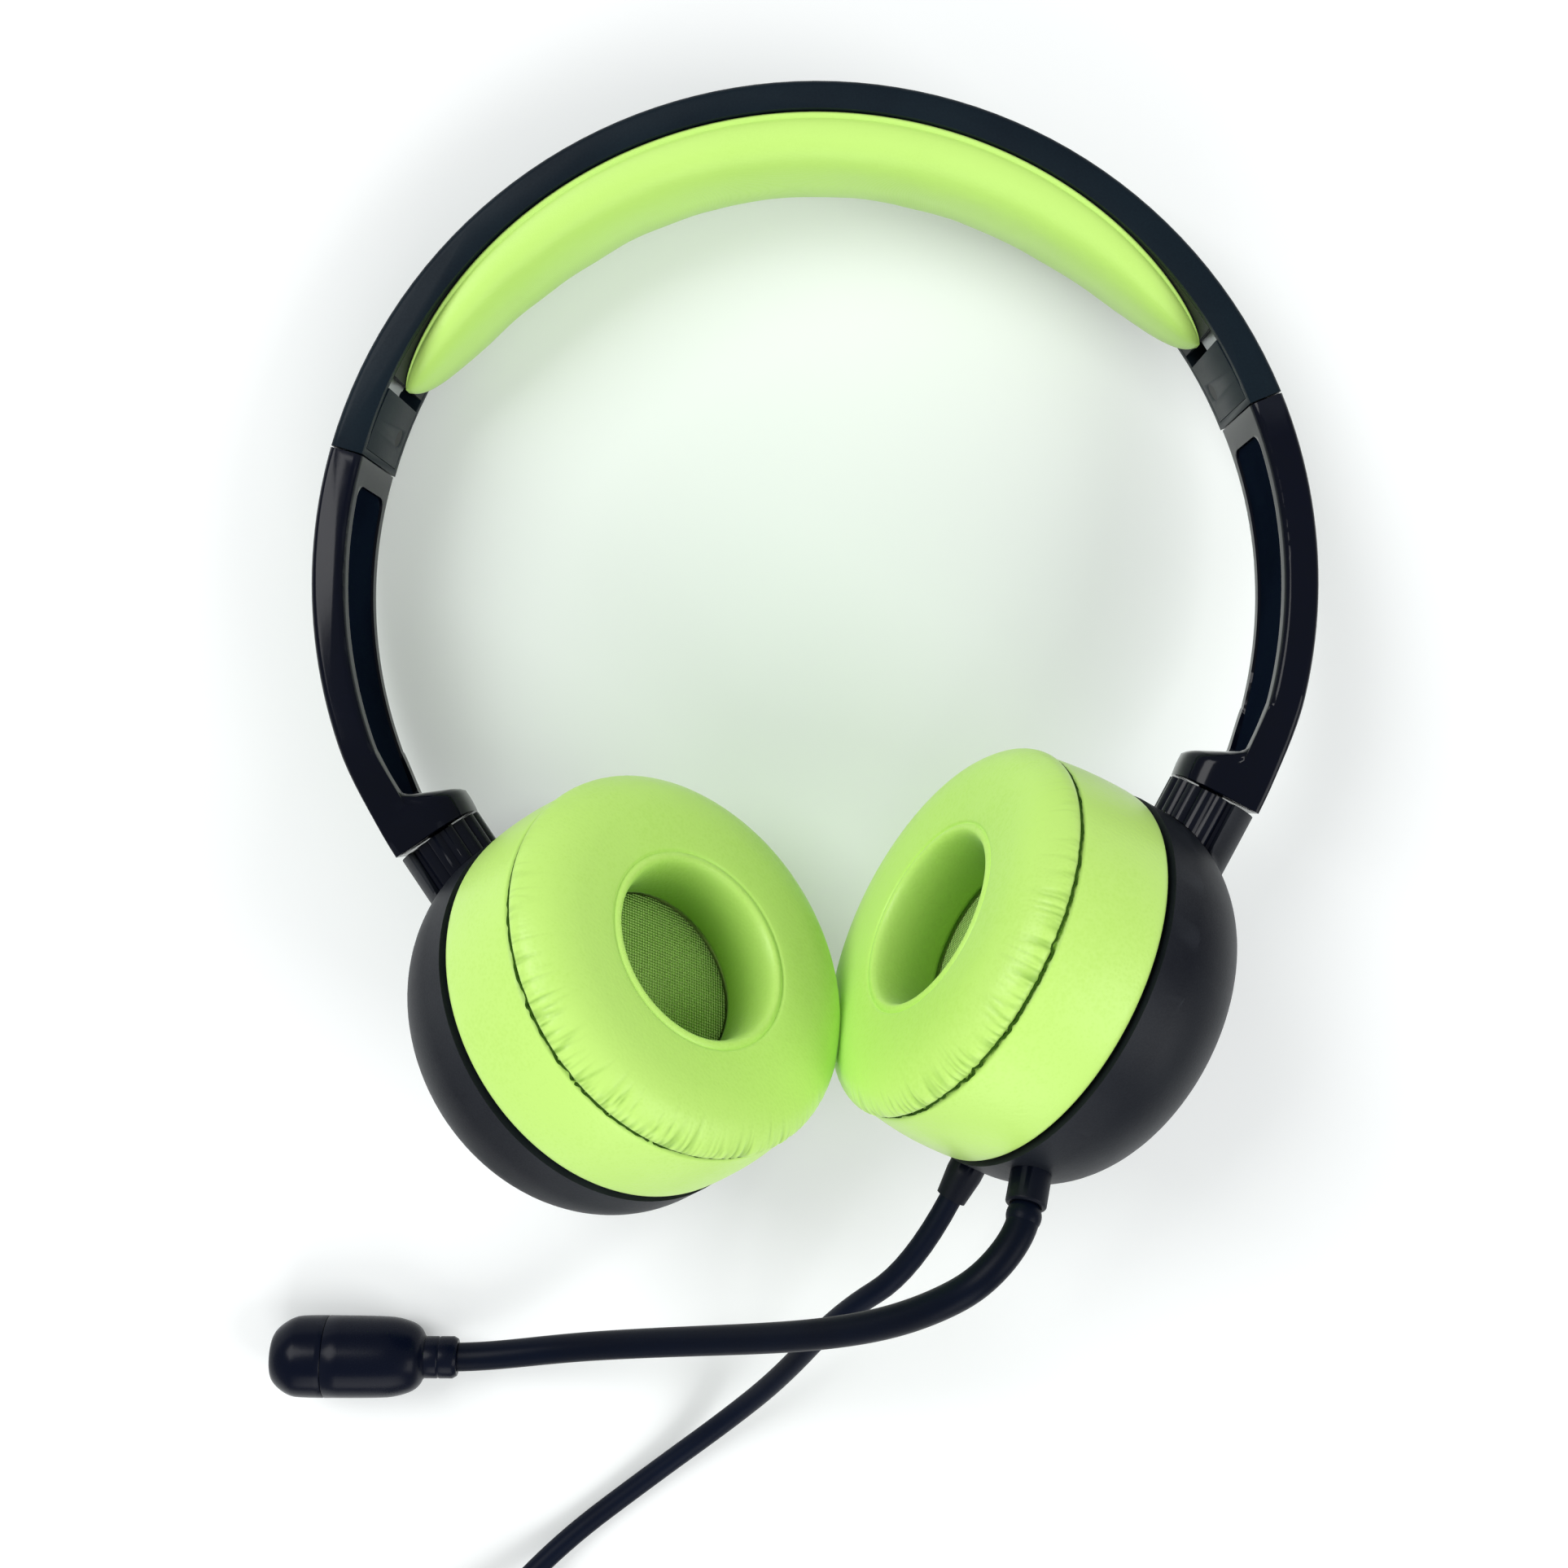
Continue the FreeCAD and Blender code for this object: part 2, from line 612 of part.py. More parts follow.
def make_headband_shell():
    corners = [
        sector(band_radius, part_angle, -1),
        sector(band_radius, part_angle),
        (end_x, end_y),
        (-end_x, end_y),
    ]
    solid = prism("band_solid", "XY_Plane", corners, W, {0: -band_radius, 2: inner_radius})
    rounded(solid, edge_round, lambda edge: level(edge, 0.5 * W) and edge.BoundBox.YMax > top_y.value + 1)
    reach = part_angle - 57.2958 * end_wall / band_radius
    corners, arcs = band_outline(band_radius - 2 * band_end, band_radius - band_skin, reach)
    channel = prism("band_channel", "XY_Plane", corners, W - 2 * band_side, arcs)
    slots = []
    posts = []
    for name, (side, swivel) in SIDES.items():
        frame = slide_frame(side)
        mouth = frame.multiply(Placement(spot(strip_half, 0, 0), Rotation()))
        slots.append(
            block(f"{name}_slot", 6 * end_wall, strip_width + 2 * slot_gap, strip_thick + 2 * slot_gap, mouth)
        )
        foot = polar(band_radius - band_end + cover_thick + fit_gap, end_screw_angle, side)
        foot = foot + spot(0, 0, end_screw_side)
        height = band_end - band_skin - cover_thick
        out = polar(sized(1), end_screw_angle, side)
        post = rod(f"{name}_post_round", end_post, height, along(out, foot))
        bore = rod(f"{name}_post_bore", end_screw_shaft, height, post.Placement)
        posts.append(cut(f"{name}_post", post, bore))
    hollow = cut("band_hollow", solid, channel, *slots)
    return node(fused("headband_shell_solid", hollow, *posts), "headband_shell", LAY)


def make_band_insides():
    arcs = {0: -(inner_radius + backing_thick), 2: inner_radius}
    corners = [
        inner_point(backing_thick, backing_angle, -1),
        inner_point(backing_thick, backing_angle),
        inner_point(sized(0), backing_angle),
        inner_point(sized(0), backing_angle, -1),
    ]
    backing = prism("backing", "XY_Plane", corners, W - 2 * band_side - 2 * fit_gap, arcs)
    node(backing, "pad_backing", LAY)
    foot = top_y + backing_thick + fit_gap
    corners, arcs = band_outline(foot, foot + spring_thick, spring_angle)
    node(prism("spring", "XY_Plane", corners, spring_width, arcs), "headband_spring", LAY)
    wire = bind(
        doc.addObject("Part::Torus", "wire"),
        Radius1=band_radius - band_skin - 1.6 * wire_radius,
        Radius2=wire_radius,
        Angle3=2 * wire_angle,
    )
    beside = spot(0, 0, 0.5 * spring_width + 2 * wire_radius + fit_gap)
    turn = Placement(beside, Rotation(Vector(0, 0, 1), 90 - wire_angle.value))
    node(wire, "crossover_wire", LAY.multiply(turn))


def make_headband_pad():
    """A crowned sausage with drawn-in sides, lofted along the band's inner curve."""
    shares = [-1, -0.97, -0.9, -0.75, -0.5, 0, 0.5, 0.75, 0.9, 0.97, 1]
    sections = []
    for share in shares:
        rise = pad_rise.value * max(0.18, (1 - abs(share) ** 2.6) ** 0.55)
        half = pad_half.value * max(0.42, (1 - abs(share) ** 5) ** 0.5)
        angle = math.radians(pad_angle.value * share)
        out = Vector(math.sin(angle), math.cos(angle), 0)
        seat = spot(0, inner_centre, 0) + out * (inner_radius.value - fit_gap.value)

        def at(across, height):
            return seat + Vector(0, 0, across * half) - out * (height * rise)

        foot, side, shoulder = 0.86, 0.34, 0.74
        sections.append(
            Part.Wire(
                [
                    Part.makeLine(at(-foot, 0), at(foot, 0)),
                    Part.Arc(at(foot, 0), at(1, side), at(0.82, shoulder)).toShape(),
                    Part.Arc(at(0.82, shoulder), at(0, 1), at(-0.82, shoulder)).toShape(),
                    Part.Arc(at(-0.82, shoulder), at(-1, side), at(-foot, 0)).toShape(),
                ]
            )
        )
    node(made("pad_solid", Part.makeLoft(sections, True, False)), "headband_pad", LAY)


def screw(name, head, sink, shaft, length, place):
    """A screw whose head's outer face lies at the place, with the shaft along the place's Z."""
    lower = place.multiply(Placement(spot(0, 0, sink), Rotation()))
    return fused(name, rod(name + "_head", head, sink, place), rod(name + "_shaft", shaft, length, lower))


def make_band_ends():
    screws = []
    for name, (side, swivel) in SIDES.items():
        inner = band_radius - band_end
        stop = part_angle - 57.2958 * (end_wall + fit_gap) / band_radius
        corners = [
            sector(inner + cover_thick, cover_start, side),
            sector(inner + cover_thick, stop, side),
            sector(inner, stop, side),
            sector(inner, cover_start, side),
        ]
        arcs = {0: -side * (inner + cover_thick), 2: side * inner}
        plate = prism(f"{name}_cover", "XY_Plane", corners, W - 2 * band_side - 2 * fit_gap, arcs)
        foot = polar(inner, end_screw_angle, side) + spot(0, 0, end_screw_side)
        face = along(polar(sized(1), end_screw_angle, side), foot)
        before = face.multiply(Placement(spot(0, 0, -end_screw_sink), Rotation()))
        sink = rod(f"{name}_cover_sink", end_screw_head, 2 * end_screw_sink, before)
        before = face.multiply(Placement(spot(0, 0, -0.5 * end_screw_sink), Rotation()))
        hole = rod(f"{name}_cover_hole", end_screw_shaft, 3 * cover_thick, before)
        node(cut(f"{name}_cover_drilled", plate, sink, hole), f"band_end_cover_{name}", LAY)
        length = band_end - band_skin - end_screw_sink - fit_gap
        screws.append(
            screw(f"{name}_end_screw", end_screw_head, end_screw_sink, end_screw_shaft, length, face)
        )
        make_slider(name, side)
    node(group("end_screws", screws), "band_end_screws", LAY)


def strip_body(name, room):
    """The slider strip: straight in the band and bent to the arm, grown by room on each side."""
    half = 0.5 * strip_thick + room
    turn = sized(strip_turn)
    corners = [
        (-strip_half, -half),
        (strip_half, -half),
        (strip_half + (strip_bend - half) * sine(turn), (strip_bend - half) * cosine(turn) - strip_bend),
        (strip_half + (strip_bend + half) * sine(turn), (strip_bend + half) * cosine(turn) - strip_bend),
        (strip_half, half),
        (-strip_half, half),
    ]
    arcs = {1: -(strip_bend - half), 3: strip_bend + half}
    return prism(name, "XZ_Plane", corners, strip_width + 2 * room, arcs)


def make_slider(name, side):
    strip = strip_body(f"{name}_strip", sized(0))
    notch = strip.newObject("PartDesign::Pocket", f"{name}_notch")
    profile = strip.newObject("Sketcher::SketchObject", f"{name}_notch_circle")
    profile.AttachmentSupport = [(origin_plane(strip, "XY_Plane"), "")]
    profile.MapMode = "FlatFace"
    edge = -0.5 * strip_width
    start = notch_pitch - strip_half
    profile.addGeometry(Part.Circle(spot(start, edge, 0), Vector(0, 0, 1), notch_radius.value), False)
    for kind, amount in (("DistanceX", start), ("DistanceY", edge)):
        index = profile.addConstraint(Sketcher.Constraint(kind, -1, 1, 0, 3, amount.value))
        profile.setExpression(f"Constraints[{index}]", amount.text)
    index = profile.addConstraint(Sketcher.Constraint("Radius", 0, notch_radius.value))
    profile.setExpression(f"Constraints[{index}]", notch_radius.text)
    notch.Profile = profile
    notch.Type = "ThroughAll"
    notch.Midplane = True
    doc.recompute()
    row = strip.newObject("PartDesign::LinearPattern", f"{name}_notches")
    row.Originals = [notch]
    row.Direction = (origin_plane(strip, "X_Axis"), [""])
    row.Occurrences = notch_count
    bind(row, Length=(notch_count - 1) * notch_pitch)
    strip.Tip = row
    node(strip, f"slider_strip_{name}", LAY.multiply(slide_frame(side)))
    # the leaf lies beside the strip's notched edge, and its nose stands in a notch
    high = 0.5 * strip_thick + slot_gap
    near = 0.5 * strip_width + leaf_thick
    corners = [
        (-leaf_half, -near - leaf_thick),
        (leaf_half, -near - leaf_thick),
        (leaf_half, -near),
        (0.6 * notch_radius, -near),
        (sized(0), -near + 0.5 * leaf_thick),
        (-0.6 * notch_radius, -near),
        (-leaf_half, -near),
    ]
    leaf = prism(f"{name}_leaf", "XY_Plane", corners, 2 * high)
    shift = Placement(spot(strip_half - 4.5 * notch_radius - leaf_half, 0, 0), Rotation())
    node(leaf, f"detent_leaf_{name}", LAY.multiply(slide_frame(side)).multiply(shift))


def arm_plate(name, side, inner, outer, room):
    """A curved plate between two radii on the inside of an arm, its lower end round as a U."""
    shrink = 57.2958 * room / band_radius
    first = arm_panel_start + shrink
    last = arm_panel_stop - shrink
    corners = [
        sector(outer, first, side),
        sector(outer, last, side),
        sector(inner, last, side),
        sector(inner, first, side),
    ]
    plate = prism(name, "XY_Plane", corners, arm_panel_width - 2 * room, {0: -side * outer, 2: side * inner})
    half = 0.5 * arm_panel_width - room

    def across(edge, low):
        box = edge.BoundBox
        middle = box.Center
        flat = box.ZLength < 0.01 and abs(abs(middle.z) - half.value) < 0.01
        return flat and box.DiagonalLength < 12 and (middle.y < 0) == low

    rounded(plate, half - 0.6, lambda edge: across(edge, True))
    return rounded(plate, sized(2.5), lambda edge: across(edge, False))


def make_arms():
    for name, (side, swivel) in SIDES.items():
        start = part_angle + 57.2958 * part_gap / band_radius
        inner = band_radius - band_end
        gap = (side * neck_radius * sine(neck_angle), neck_radius * cosine(neck_angle))
        out = (side * cosine(neck_lean), -sine(neck_lean))
        corners = [
            sector(band_radius, start, side),
            (gap[0] + arm_out * out[0], gap[1] + arm_out * out[1]),
            (gap[0] - neck_in * out[0], gap[1] - neck_in * out[1]),
            sector(inner, flare_start, side),
            sector(inner, start, side),
        ]
        arcs = {0: -side * band_radius, 2: -side * flare_radius, 3: side * inner}
        solid = prism(f"{name}_arm", "XY_Plane", corners, W, arcs)
        rounded(solid, edge_round, lambda edge: level(edge, 0.5 * W) and edge.BoundBox.DiagonalLength > long_edge)
        recess = arm_plate(f"{name}_recess", side, inner - 8, inner + arm_panel_depth, sized(0))
        channel = strip_body(f"{name}_strip_room", sized(0))
        channel.Placement = slide_frame(side)
        up = neck_axis(side) * -1
        foot = polar(neck_radius, neck_angle, side)
        bore = rod(f"{name}_stud_bore", stud_radius + stud_gap, stud_length + clip_room, along(up, foot))
        room_foot = foot + up * (clip_start - clip_room).value
        room = rod(
            f"{name}_clip_room", clip_radius + clip_room, clip_thick + 2 * clip_room, along(up, room_foot)
        )
        node(cut(f"{name}_arm_cut", solid, recess, channel, bore, room), f"arm_shell_{name}", LAY)
        deep = inner + arm_panel_depth
        panel = arm_plate(f"{name}_panel", side, inner + arm_panel_sunk, deep, fit_gap)
        node(panel, f"arm_panel_{name}", LAY)


# The dome's curve leaves the flat back level and reaches the rim's shoulder upright
cup_depth = cup_shoulder + cup_back
cup_dome = (cup_run * cup_run + cup_depth * cup_depth) / (2 * cup_depth)


def dome_outline(wall):
    """Corners and arcs of the cup's dome, drawn in by wall from the outside."""
    corners = [
        (sized(0), wall - cup_back),
        (cup_flat, wall - cup_back),
        (cup_radius - wall, cup_shoulder),
    ]
    return corners, {1: cup_dome - wall}


def dome(name, wall, top):
    corners, arcs = dome_outline(wall)
    return turned(name, corners + [(cup_radius - wall, top), (sized(0), top)], arcs)


def cup_screw_places():
    for number in range(cup_screw_count):
        angle = 90 + 360 / cup_screw_count * number
        yield number, spot(cup_screw_circle * cosine(angle), cup_screw_circle * sine(angle), 0)


def cup_skin(name):
    """The dome with the half sleeve of the swivel barrel run into it, blended where they meet."""
    outside = dome(f"{name}_dome", sized(0), cup_rim)
    top = cup_drop - neck_gap
    bore = barrel_radius + fit_gap
    reach = root(sleeve_radius * sleeve_radius - sleeve_edge * sleeve_edge)
    near = root(bore * bore - sleeve_edge * sleeve_edge)
    corners = [(-reach, -sleeve_edge), (reach, -sleeve_edge), (near, -sleeve_edge), (-near, -sleeve_edge)]
    arcs = {0: sleeve_radius, 2: -bore}
    sleeve = prism(f"{name}_sleeve", "XZ_Plane", corners, top - sleeve_root, arcs, height=-top)
    skin = fused(f"{name}_skin", outside, sleeve)
    doc.recompute()
    blend = doc.addObject("Part::Fillet", f"{name}_blend")
    blend.Base = skin
    meeting = []
    for number, edge in enumerate(skin.Shape.Edges):
        middle = edge.valueAt(0.5 * (edge.FirstParameter + edge.LastParameter))
        on_sleeve = abs(math.hypot(middle.x, middle.z) - sleeve_radius.value) < 0.01
        if on_sleeve and middle.y < top.value - 0.5 and edge.BoundBox.XLength > 1:
            meeting.append((number + 1, sleeve_blend.value, sleeve_blend.value))
    blend.Edges = meeting
    doc.recompute()
    return blend


def cup_shell(name, cable_side):
    up = Vector(0, 0, 1)
    inside = dome(f"{name}_inside", cup_wall, cup_rim + 1)
    hollowed = cut(f"{name}_hollowed", cup_skin(name), inside)
    floor = cup_rim - baffle_thick
    screw_depth = cup_screw_length - 1
    posts = []
    bores = []
    for number, place in cup_screw_places():
        foot = place + spot(0, 0, -cup_back)
        posts.append(rod(f"{name}_post_{number}", cup_post, floor + cup_back, along(up, foot)))
        foot = place + spot(0, 0, floor - screw_depth)
        bores.append(rod(f"{name}_post_bore_{number}", cup_screw_shaft, screw_depth + 1, along(up, foot)))
    if cable_side:
        for number, side in enumerate((-1, 1)):
            foot = spot(side * board_post_side, -board_drop, -cup_back)
            posts.append(rod(f"board_post_{number}", board_post, board_height + cup_back, along(up, foot)))
        bores.append(rod("boom_wire_bore", boom_radius - 1, 8, boot_place(boom_boot_angle, -5)))
        bores.append(rod("cable_bore", cable_radius - 0.4, 8, boot_place(sized(0), -5)))
    standing = doc.addObject("Part::Common", f"{name}_posts")
    standing.Base = fused(f"{name}_post_rods", *posts)
    standing.Tool = dome(f"{name}_post_room", 0.5 * cup_wall, floor)
    return cut(f"{name}_shell_bored", fused(f"{name}_shell", hollowed, standing), *bores)


def boot_place(angle, offset):
    """On the rim of the cup, at an angle from its bottom, with Z outwards."""
    out = spot(sine(angle), -cosine(angle), 0)
    return along(out, out * (cup_radius.value + sized(offset).value) + spot(0, 0, boot_height))


def swivel_barrel(name):
    """The fluted barrel that stands on the dome, with the grooved stud that turns in the arm."""
    top = cup_drop - neck_gap
    valley = barrel_radius - flute_depth
    step = sized(360 / flute_count)
    turns = [step * number for number in range(flute_count)]
    corners = [(valley * sine(turn), valley * cosine(turn)) for turn in turns]
    half = valley * sine(0.5 * step)
    rise = barrel_radius - valley * cosine(0.5 * step)
    crest = (half * half + rise * rise) / (2 * rise)
    arcs = {number: -crest for number in range(flute_count)}
    waist = 0.7 * cup_radius
    bar = prism(f"{name}_barrel", "XZ_Plane", corners, top - waist, arcs, height=-top)
    gone = dome(f"{name}_barrel_cup", -fit_gap, cup_rim + 1)
    up = Vector(0, 1, 0)
    stud = rod(f"{name}_stud", stud_radius, stud_length + 1, along(up, spot(0, top - 0.5, 0)))
    groove_foot = spot(0, cup_drop + clip_start, 0)
    ring = rod(f"{name}_groove_out", stud_radius + 1, clip_thick, along(up, groove_foot))
    core = rod(f"{name}_groove_core", stud_radius - groove_depth, clip_thick, along(up, groove_foot))
    groove = cut(f"{name}_groove", ring, core)
    return cut(f"{name}_barrel_cut", fused(f"{name}_barrel_stud", bar, stud), gone, groove)


def swivel_clip(name):
    up = Vector(0, 1, 0)
    foot = spot(0, cup_drop + clip_start, 0)
    disc = rod(f"{name}_clip_disc", clip_radius, clip_thick, along(up, foot))
    hole = rod(f"{name}_clip_hole", stud_radius - groove_depth, clip_thick, along(up, foot))
    opening = Placement(foot + spot(2, 0.5 * clip_thick, 0), Rotation())
    mouth = block(f"{name}_clip_mouth", 4, clip_thick * 2, 2 * (stud_radius - groove_depth) - 0.6, opening)
    return cut(f"{name}_clip", disc, hole, mouth)


def baffle(name):
    floor = cup_rim - baffle_thick
    top = cup_rim + boss_rise
    rim = cup_radius - cup_wall - fit_gap
    corners = [
        (boss_bore, floor),
        (rim, floor),
        (rim, cup_rim),
        (boss_radius, cup_rim),
        (boss_radius, top),
        (sized(0), top),
        (sized(0), top - boss_skin),
        (boss_bore, top - boss_skin),
    ]
    plate = turned(f"{name}_baffle", corners)
    port = plate.newObject("PartDesign::Pocket", f"{name}_port")
    circle = plate.newObject("Sketcher::SketchObject", f"{name}_port_circle")
    circle.AttachmentSupport = [(origin_plane(plate, "XY_Plane"), "")]
    circle.MapMode = "FlatFace"
    circle.addGeometry(Part.Circle(spot(port_circle, 0, 0), Vector(0, 0, 1), port_radius.value), False)
    for kind, amount in (("DistanceX", port_circle), ("DistanceY", sized(0))):
        index = circle.addConstraint(Sketcher.Constraint(kind, -1, 1, 0, 3, amount.value))
        circle.setExpression(f"Constraints[{index}]", amount.text)
    index = circle.addConstraint(Sketcher.Constraint("Radius", 0, port_radius.value))
    circle.setExpression(f"Constraints[{index}]", port_radius.text)
    port.Profile = circle
    port.Type = "ThroughAll"
    port.Reversed = True
    doc.recompute()
    ring = plate.newObject("PartDesign::PolarPattern", f"{name}_ports")
    ring.Originals = [port]
    ring.Axis = (origin_plane(plate, "Z_Axis"), [""])
    ring.Angle = 360
    ring.Occurrences = port_count
    plate.Tip = ring
    doc.recompute()
    holes = []
    for number, place in cup_screw_places():
        down = along(Vector(0, 0, -1), place + spot(0, 0, cup_rim))
        holes.append(rod(f"{name}_baffle_sink_{number}", cup_screw_head, 1, down))
        holes.append(rod(f"{name}_baffle_hole_{number}", cup_screw_shaft, 4, down))
    return cut(f"{name}_baffle_cut", plate, *holes)


def cup_screws(name):
    screws = []
    for number, place in cup_screw_places():
        down = along(Vector(0, 0, -1), place + spot(0, 0, cup_rim))
        length = cup_screw_length - 1
        screws.append(
            screw(f"{name}_screw_{number}", cup_screw_head, sized(1), cup_screw_shaft, length, down)
        )
    return group(f"{name}_screws", screws)


def driver_parts(name):
    """The driver's frame, magnet and diaphragm, hung in the baffle's hollow."""
    floor = cup_rim - baffle_thick
    base = floor - frame_depth
    lip = floor + 3.2
    frame = turned(
        f"{name}_driver_frame",
        [
            (magnet_radius - frame_wall, base),
            (frame_radius, base),
            (frame_radius, floor - frame_wall),
            (frame_flange, floor - frame_wall),
            (frame_flange, floor),
            (frame_radius, floor),
            (frame_radius, lip),
            (frame_radius - frame_wall, lip),
            (frame_radius - frame_wall, base + frame_wall),
            (magnet_radius - frame_wall, base + frame_wall),
        ],
    )
    magnet = rod(f"{name}_magnet", magnet_radius, magnet_depth, along(Vector(0, 0, -1), spot(0, 0, base)))
    foot = lip - cone_rise - cone_thick - fit_gap
    flat = 0.2 * cone_radius
    cone = turned(
        f"{name}_cone",
        [
            (sized(0), foot + cone_rise),
            (flat, foot + cone_rise),
            (cone_radius, foot),
            (cone_radius, foot + cone_thick),
            (flat, foot + cone_rise + cone_thick),
            (sized(0), foot + cone_rise + cone_thick),
        ],
    )
    return frame, magnet, cone


def cushion(name):
    """A soft ring: drawn-in side strip, outer seam, crown, well seam and the wall of the ear well."""
    foot = cup_rim + ring_thick + fit_gap
    top = seam_height + crown_rise
    cloth_top = cup_rim + boss_rise + cloth_thick + 2 * fit_gap
    corners = [
        (cloth_radius + 2 * fit_gap, foot),
        (cushion_foot, foot),
        (seam_radius, seam_height - seam_notch),
        (seam_radius - seam_notch, seam_height),
        (seam_radius - 0.3 * seam_notch, seam_height + seam_notch),
        (crown_radius, top),
        (well_seam, top - well_drop),
        (well_seam - 0.6 * seam_notch, top - well_drop - seam_notch),
        (well_radius, top - 2 * well_drop - seam_notch),
        (well_foot, cloth_top),
        (cloth_radius + 2 * fit_gap, cloth_top),
    ]
    arcs = {
        1: 3 * seam_height,
        4: 0.27 * seam_radius,
        5: 0.4 * seam_radius,
        7: 4 * well_drop,
        8: -2 * seam_height,
    }
    return turned(f"{name}_cushion", corners, arcs)


def make_cups():
    for name, (side, swivel) in SIDES.items():
        place = LAY.multiply(cup_frame(side, swivel))
        node(cup_shell(name, side > 0), f"cup_shell_{name}", place)
        node(swivel_barrel(name), f"swivel_barrel_{name}", place)
        node(swivel_clip(name), f"swivel_clip_{name}", place)
        node(baffle(name), f"baffle_{name}", place)
        node(cup_screws(name), f"cup_screws_{name}", place)
        frame, magnet, cone = driver_parts(name)
        node(frame, f"driver_frame_{name}", place)
        node(magnet, f"driver_magnet_{name}", place.multiply(magnet.Placement))
        node(cone, f"diaphragm_{name}", place)
        height = cup_rim + boss_rise + fit_gap
        cloth = rod(f"{name}_cloth", cloth_radius, cloth_thick)
        node(cloth, f"speaker_cloth_{name}", place.multiply(Placement(spot(0, 0, height), Rotation())))
        ring = rod(f"{name}_ring", ring_outer, ring_thick)
        hole = rod(f"{name}_ring_hole", ring_inner, ring_thick)
        lift = place.multiply(Placement(spot(0, 0, cup_rim), Rotation()))
        node(cut(f"{name}_ring_cut", ring, hole), f"cushion_ring_{name}", lift)
        node(cushion(name), f"ear_cushion_{name}", place)


def make_cable_side():
    """Boots and terminal board of the cup that has the boom and the cable."""
    place = LAY.multiply(cup_frame(*SIDES["right"]))
    tip = sized(boom_boot_length)
    sleeve = turned(
        "boom_boot_round",
        [
            (sized(0), -cup_wall),
            (boom_boot_radius, -cup_wall),
            (boom_boot_radius, tip),
            (sized(0), tip),
        ],
    )
    at_tip = tip.value - 0.01
    rounded(sleeve, sized(0.5), lambda edge: edge.BoundBox.ZMin > at_tip and len(edge.Vertexes) == 1)
    seat = bind(doc.addObject("Part::Sphere", "ball_seat"), Radius=ball_radius + ball_gap)
    seat.Placement = Placement(spot(0, 0, tip + ball_out), Rotation())
    there = boot_place(boom_boot_angle, 0)
    hollow = dome("boom_boot_cup", sized(0), cup_rim + 1)
    hollow.Placement = there.inverse()
    node(cut("boom_boot_cut", sleeve, seat, hollow), "boom_boot", place.multiply(there))
    there = boot_place(sized(0), 0)
    hollow = dome("cable_boot_cup", sized(0), cup_rim + 1)
    hollow.Placement = there.inverse()
    sleeve = turned(
        "cable_boot_round",
        [
            (sized(0), -cup_wall),
            (cable_boot_radius, -cup_wall),
            (cable_boot_radius, 0.3 * cable_boot_length),
            (cable_boot_tip, cable_boot_length),
            (sized(0), cable_boot_length),
        ],
    )
    node(cut("cable_boot_cut", sleeve, hollow), "cable_boot", place.multiply(there))
    middle = spot(0, -board_drop, board_height + fit_gap + 0.5 * board_thick)
    board = block("board", board_width, board_length, board_thick, Placement(middle, Rotation()))
    node(board, "terminal_board", place.multiply(board.Placement))


def right_boot(angle, offset):
    """A place on the axis of a boot of the cup that has the cable, with Z outwards."""
    return LAY.multiply(cup_frame(*SIDES["right"])).multiply(boot_place(angle, offset))


def z_axis(place):
    return place.Rotation.multVec(Vector(0, 0, 1))


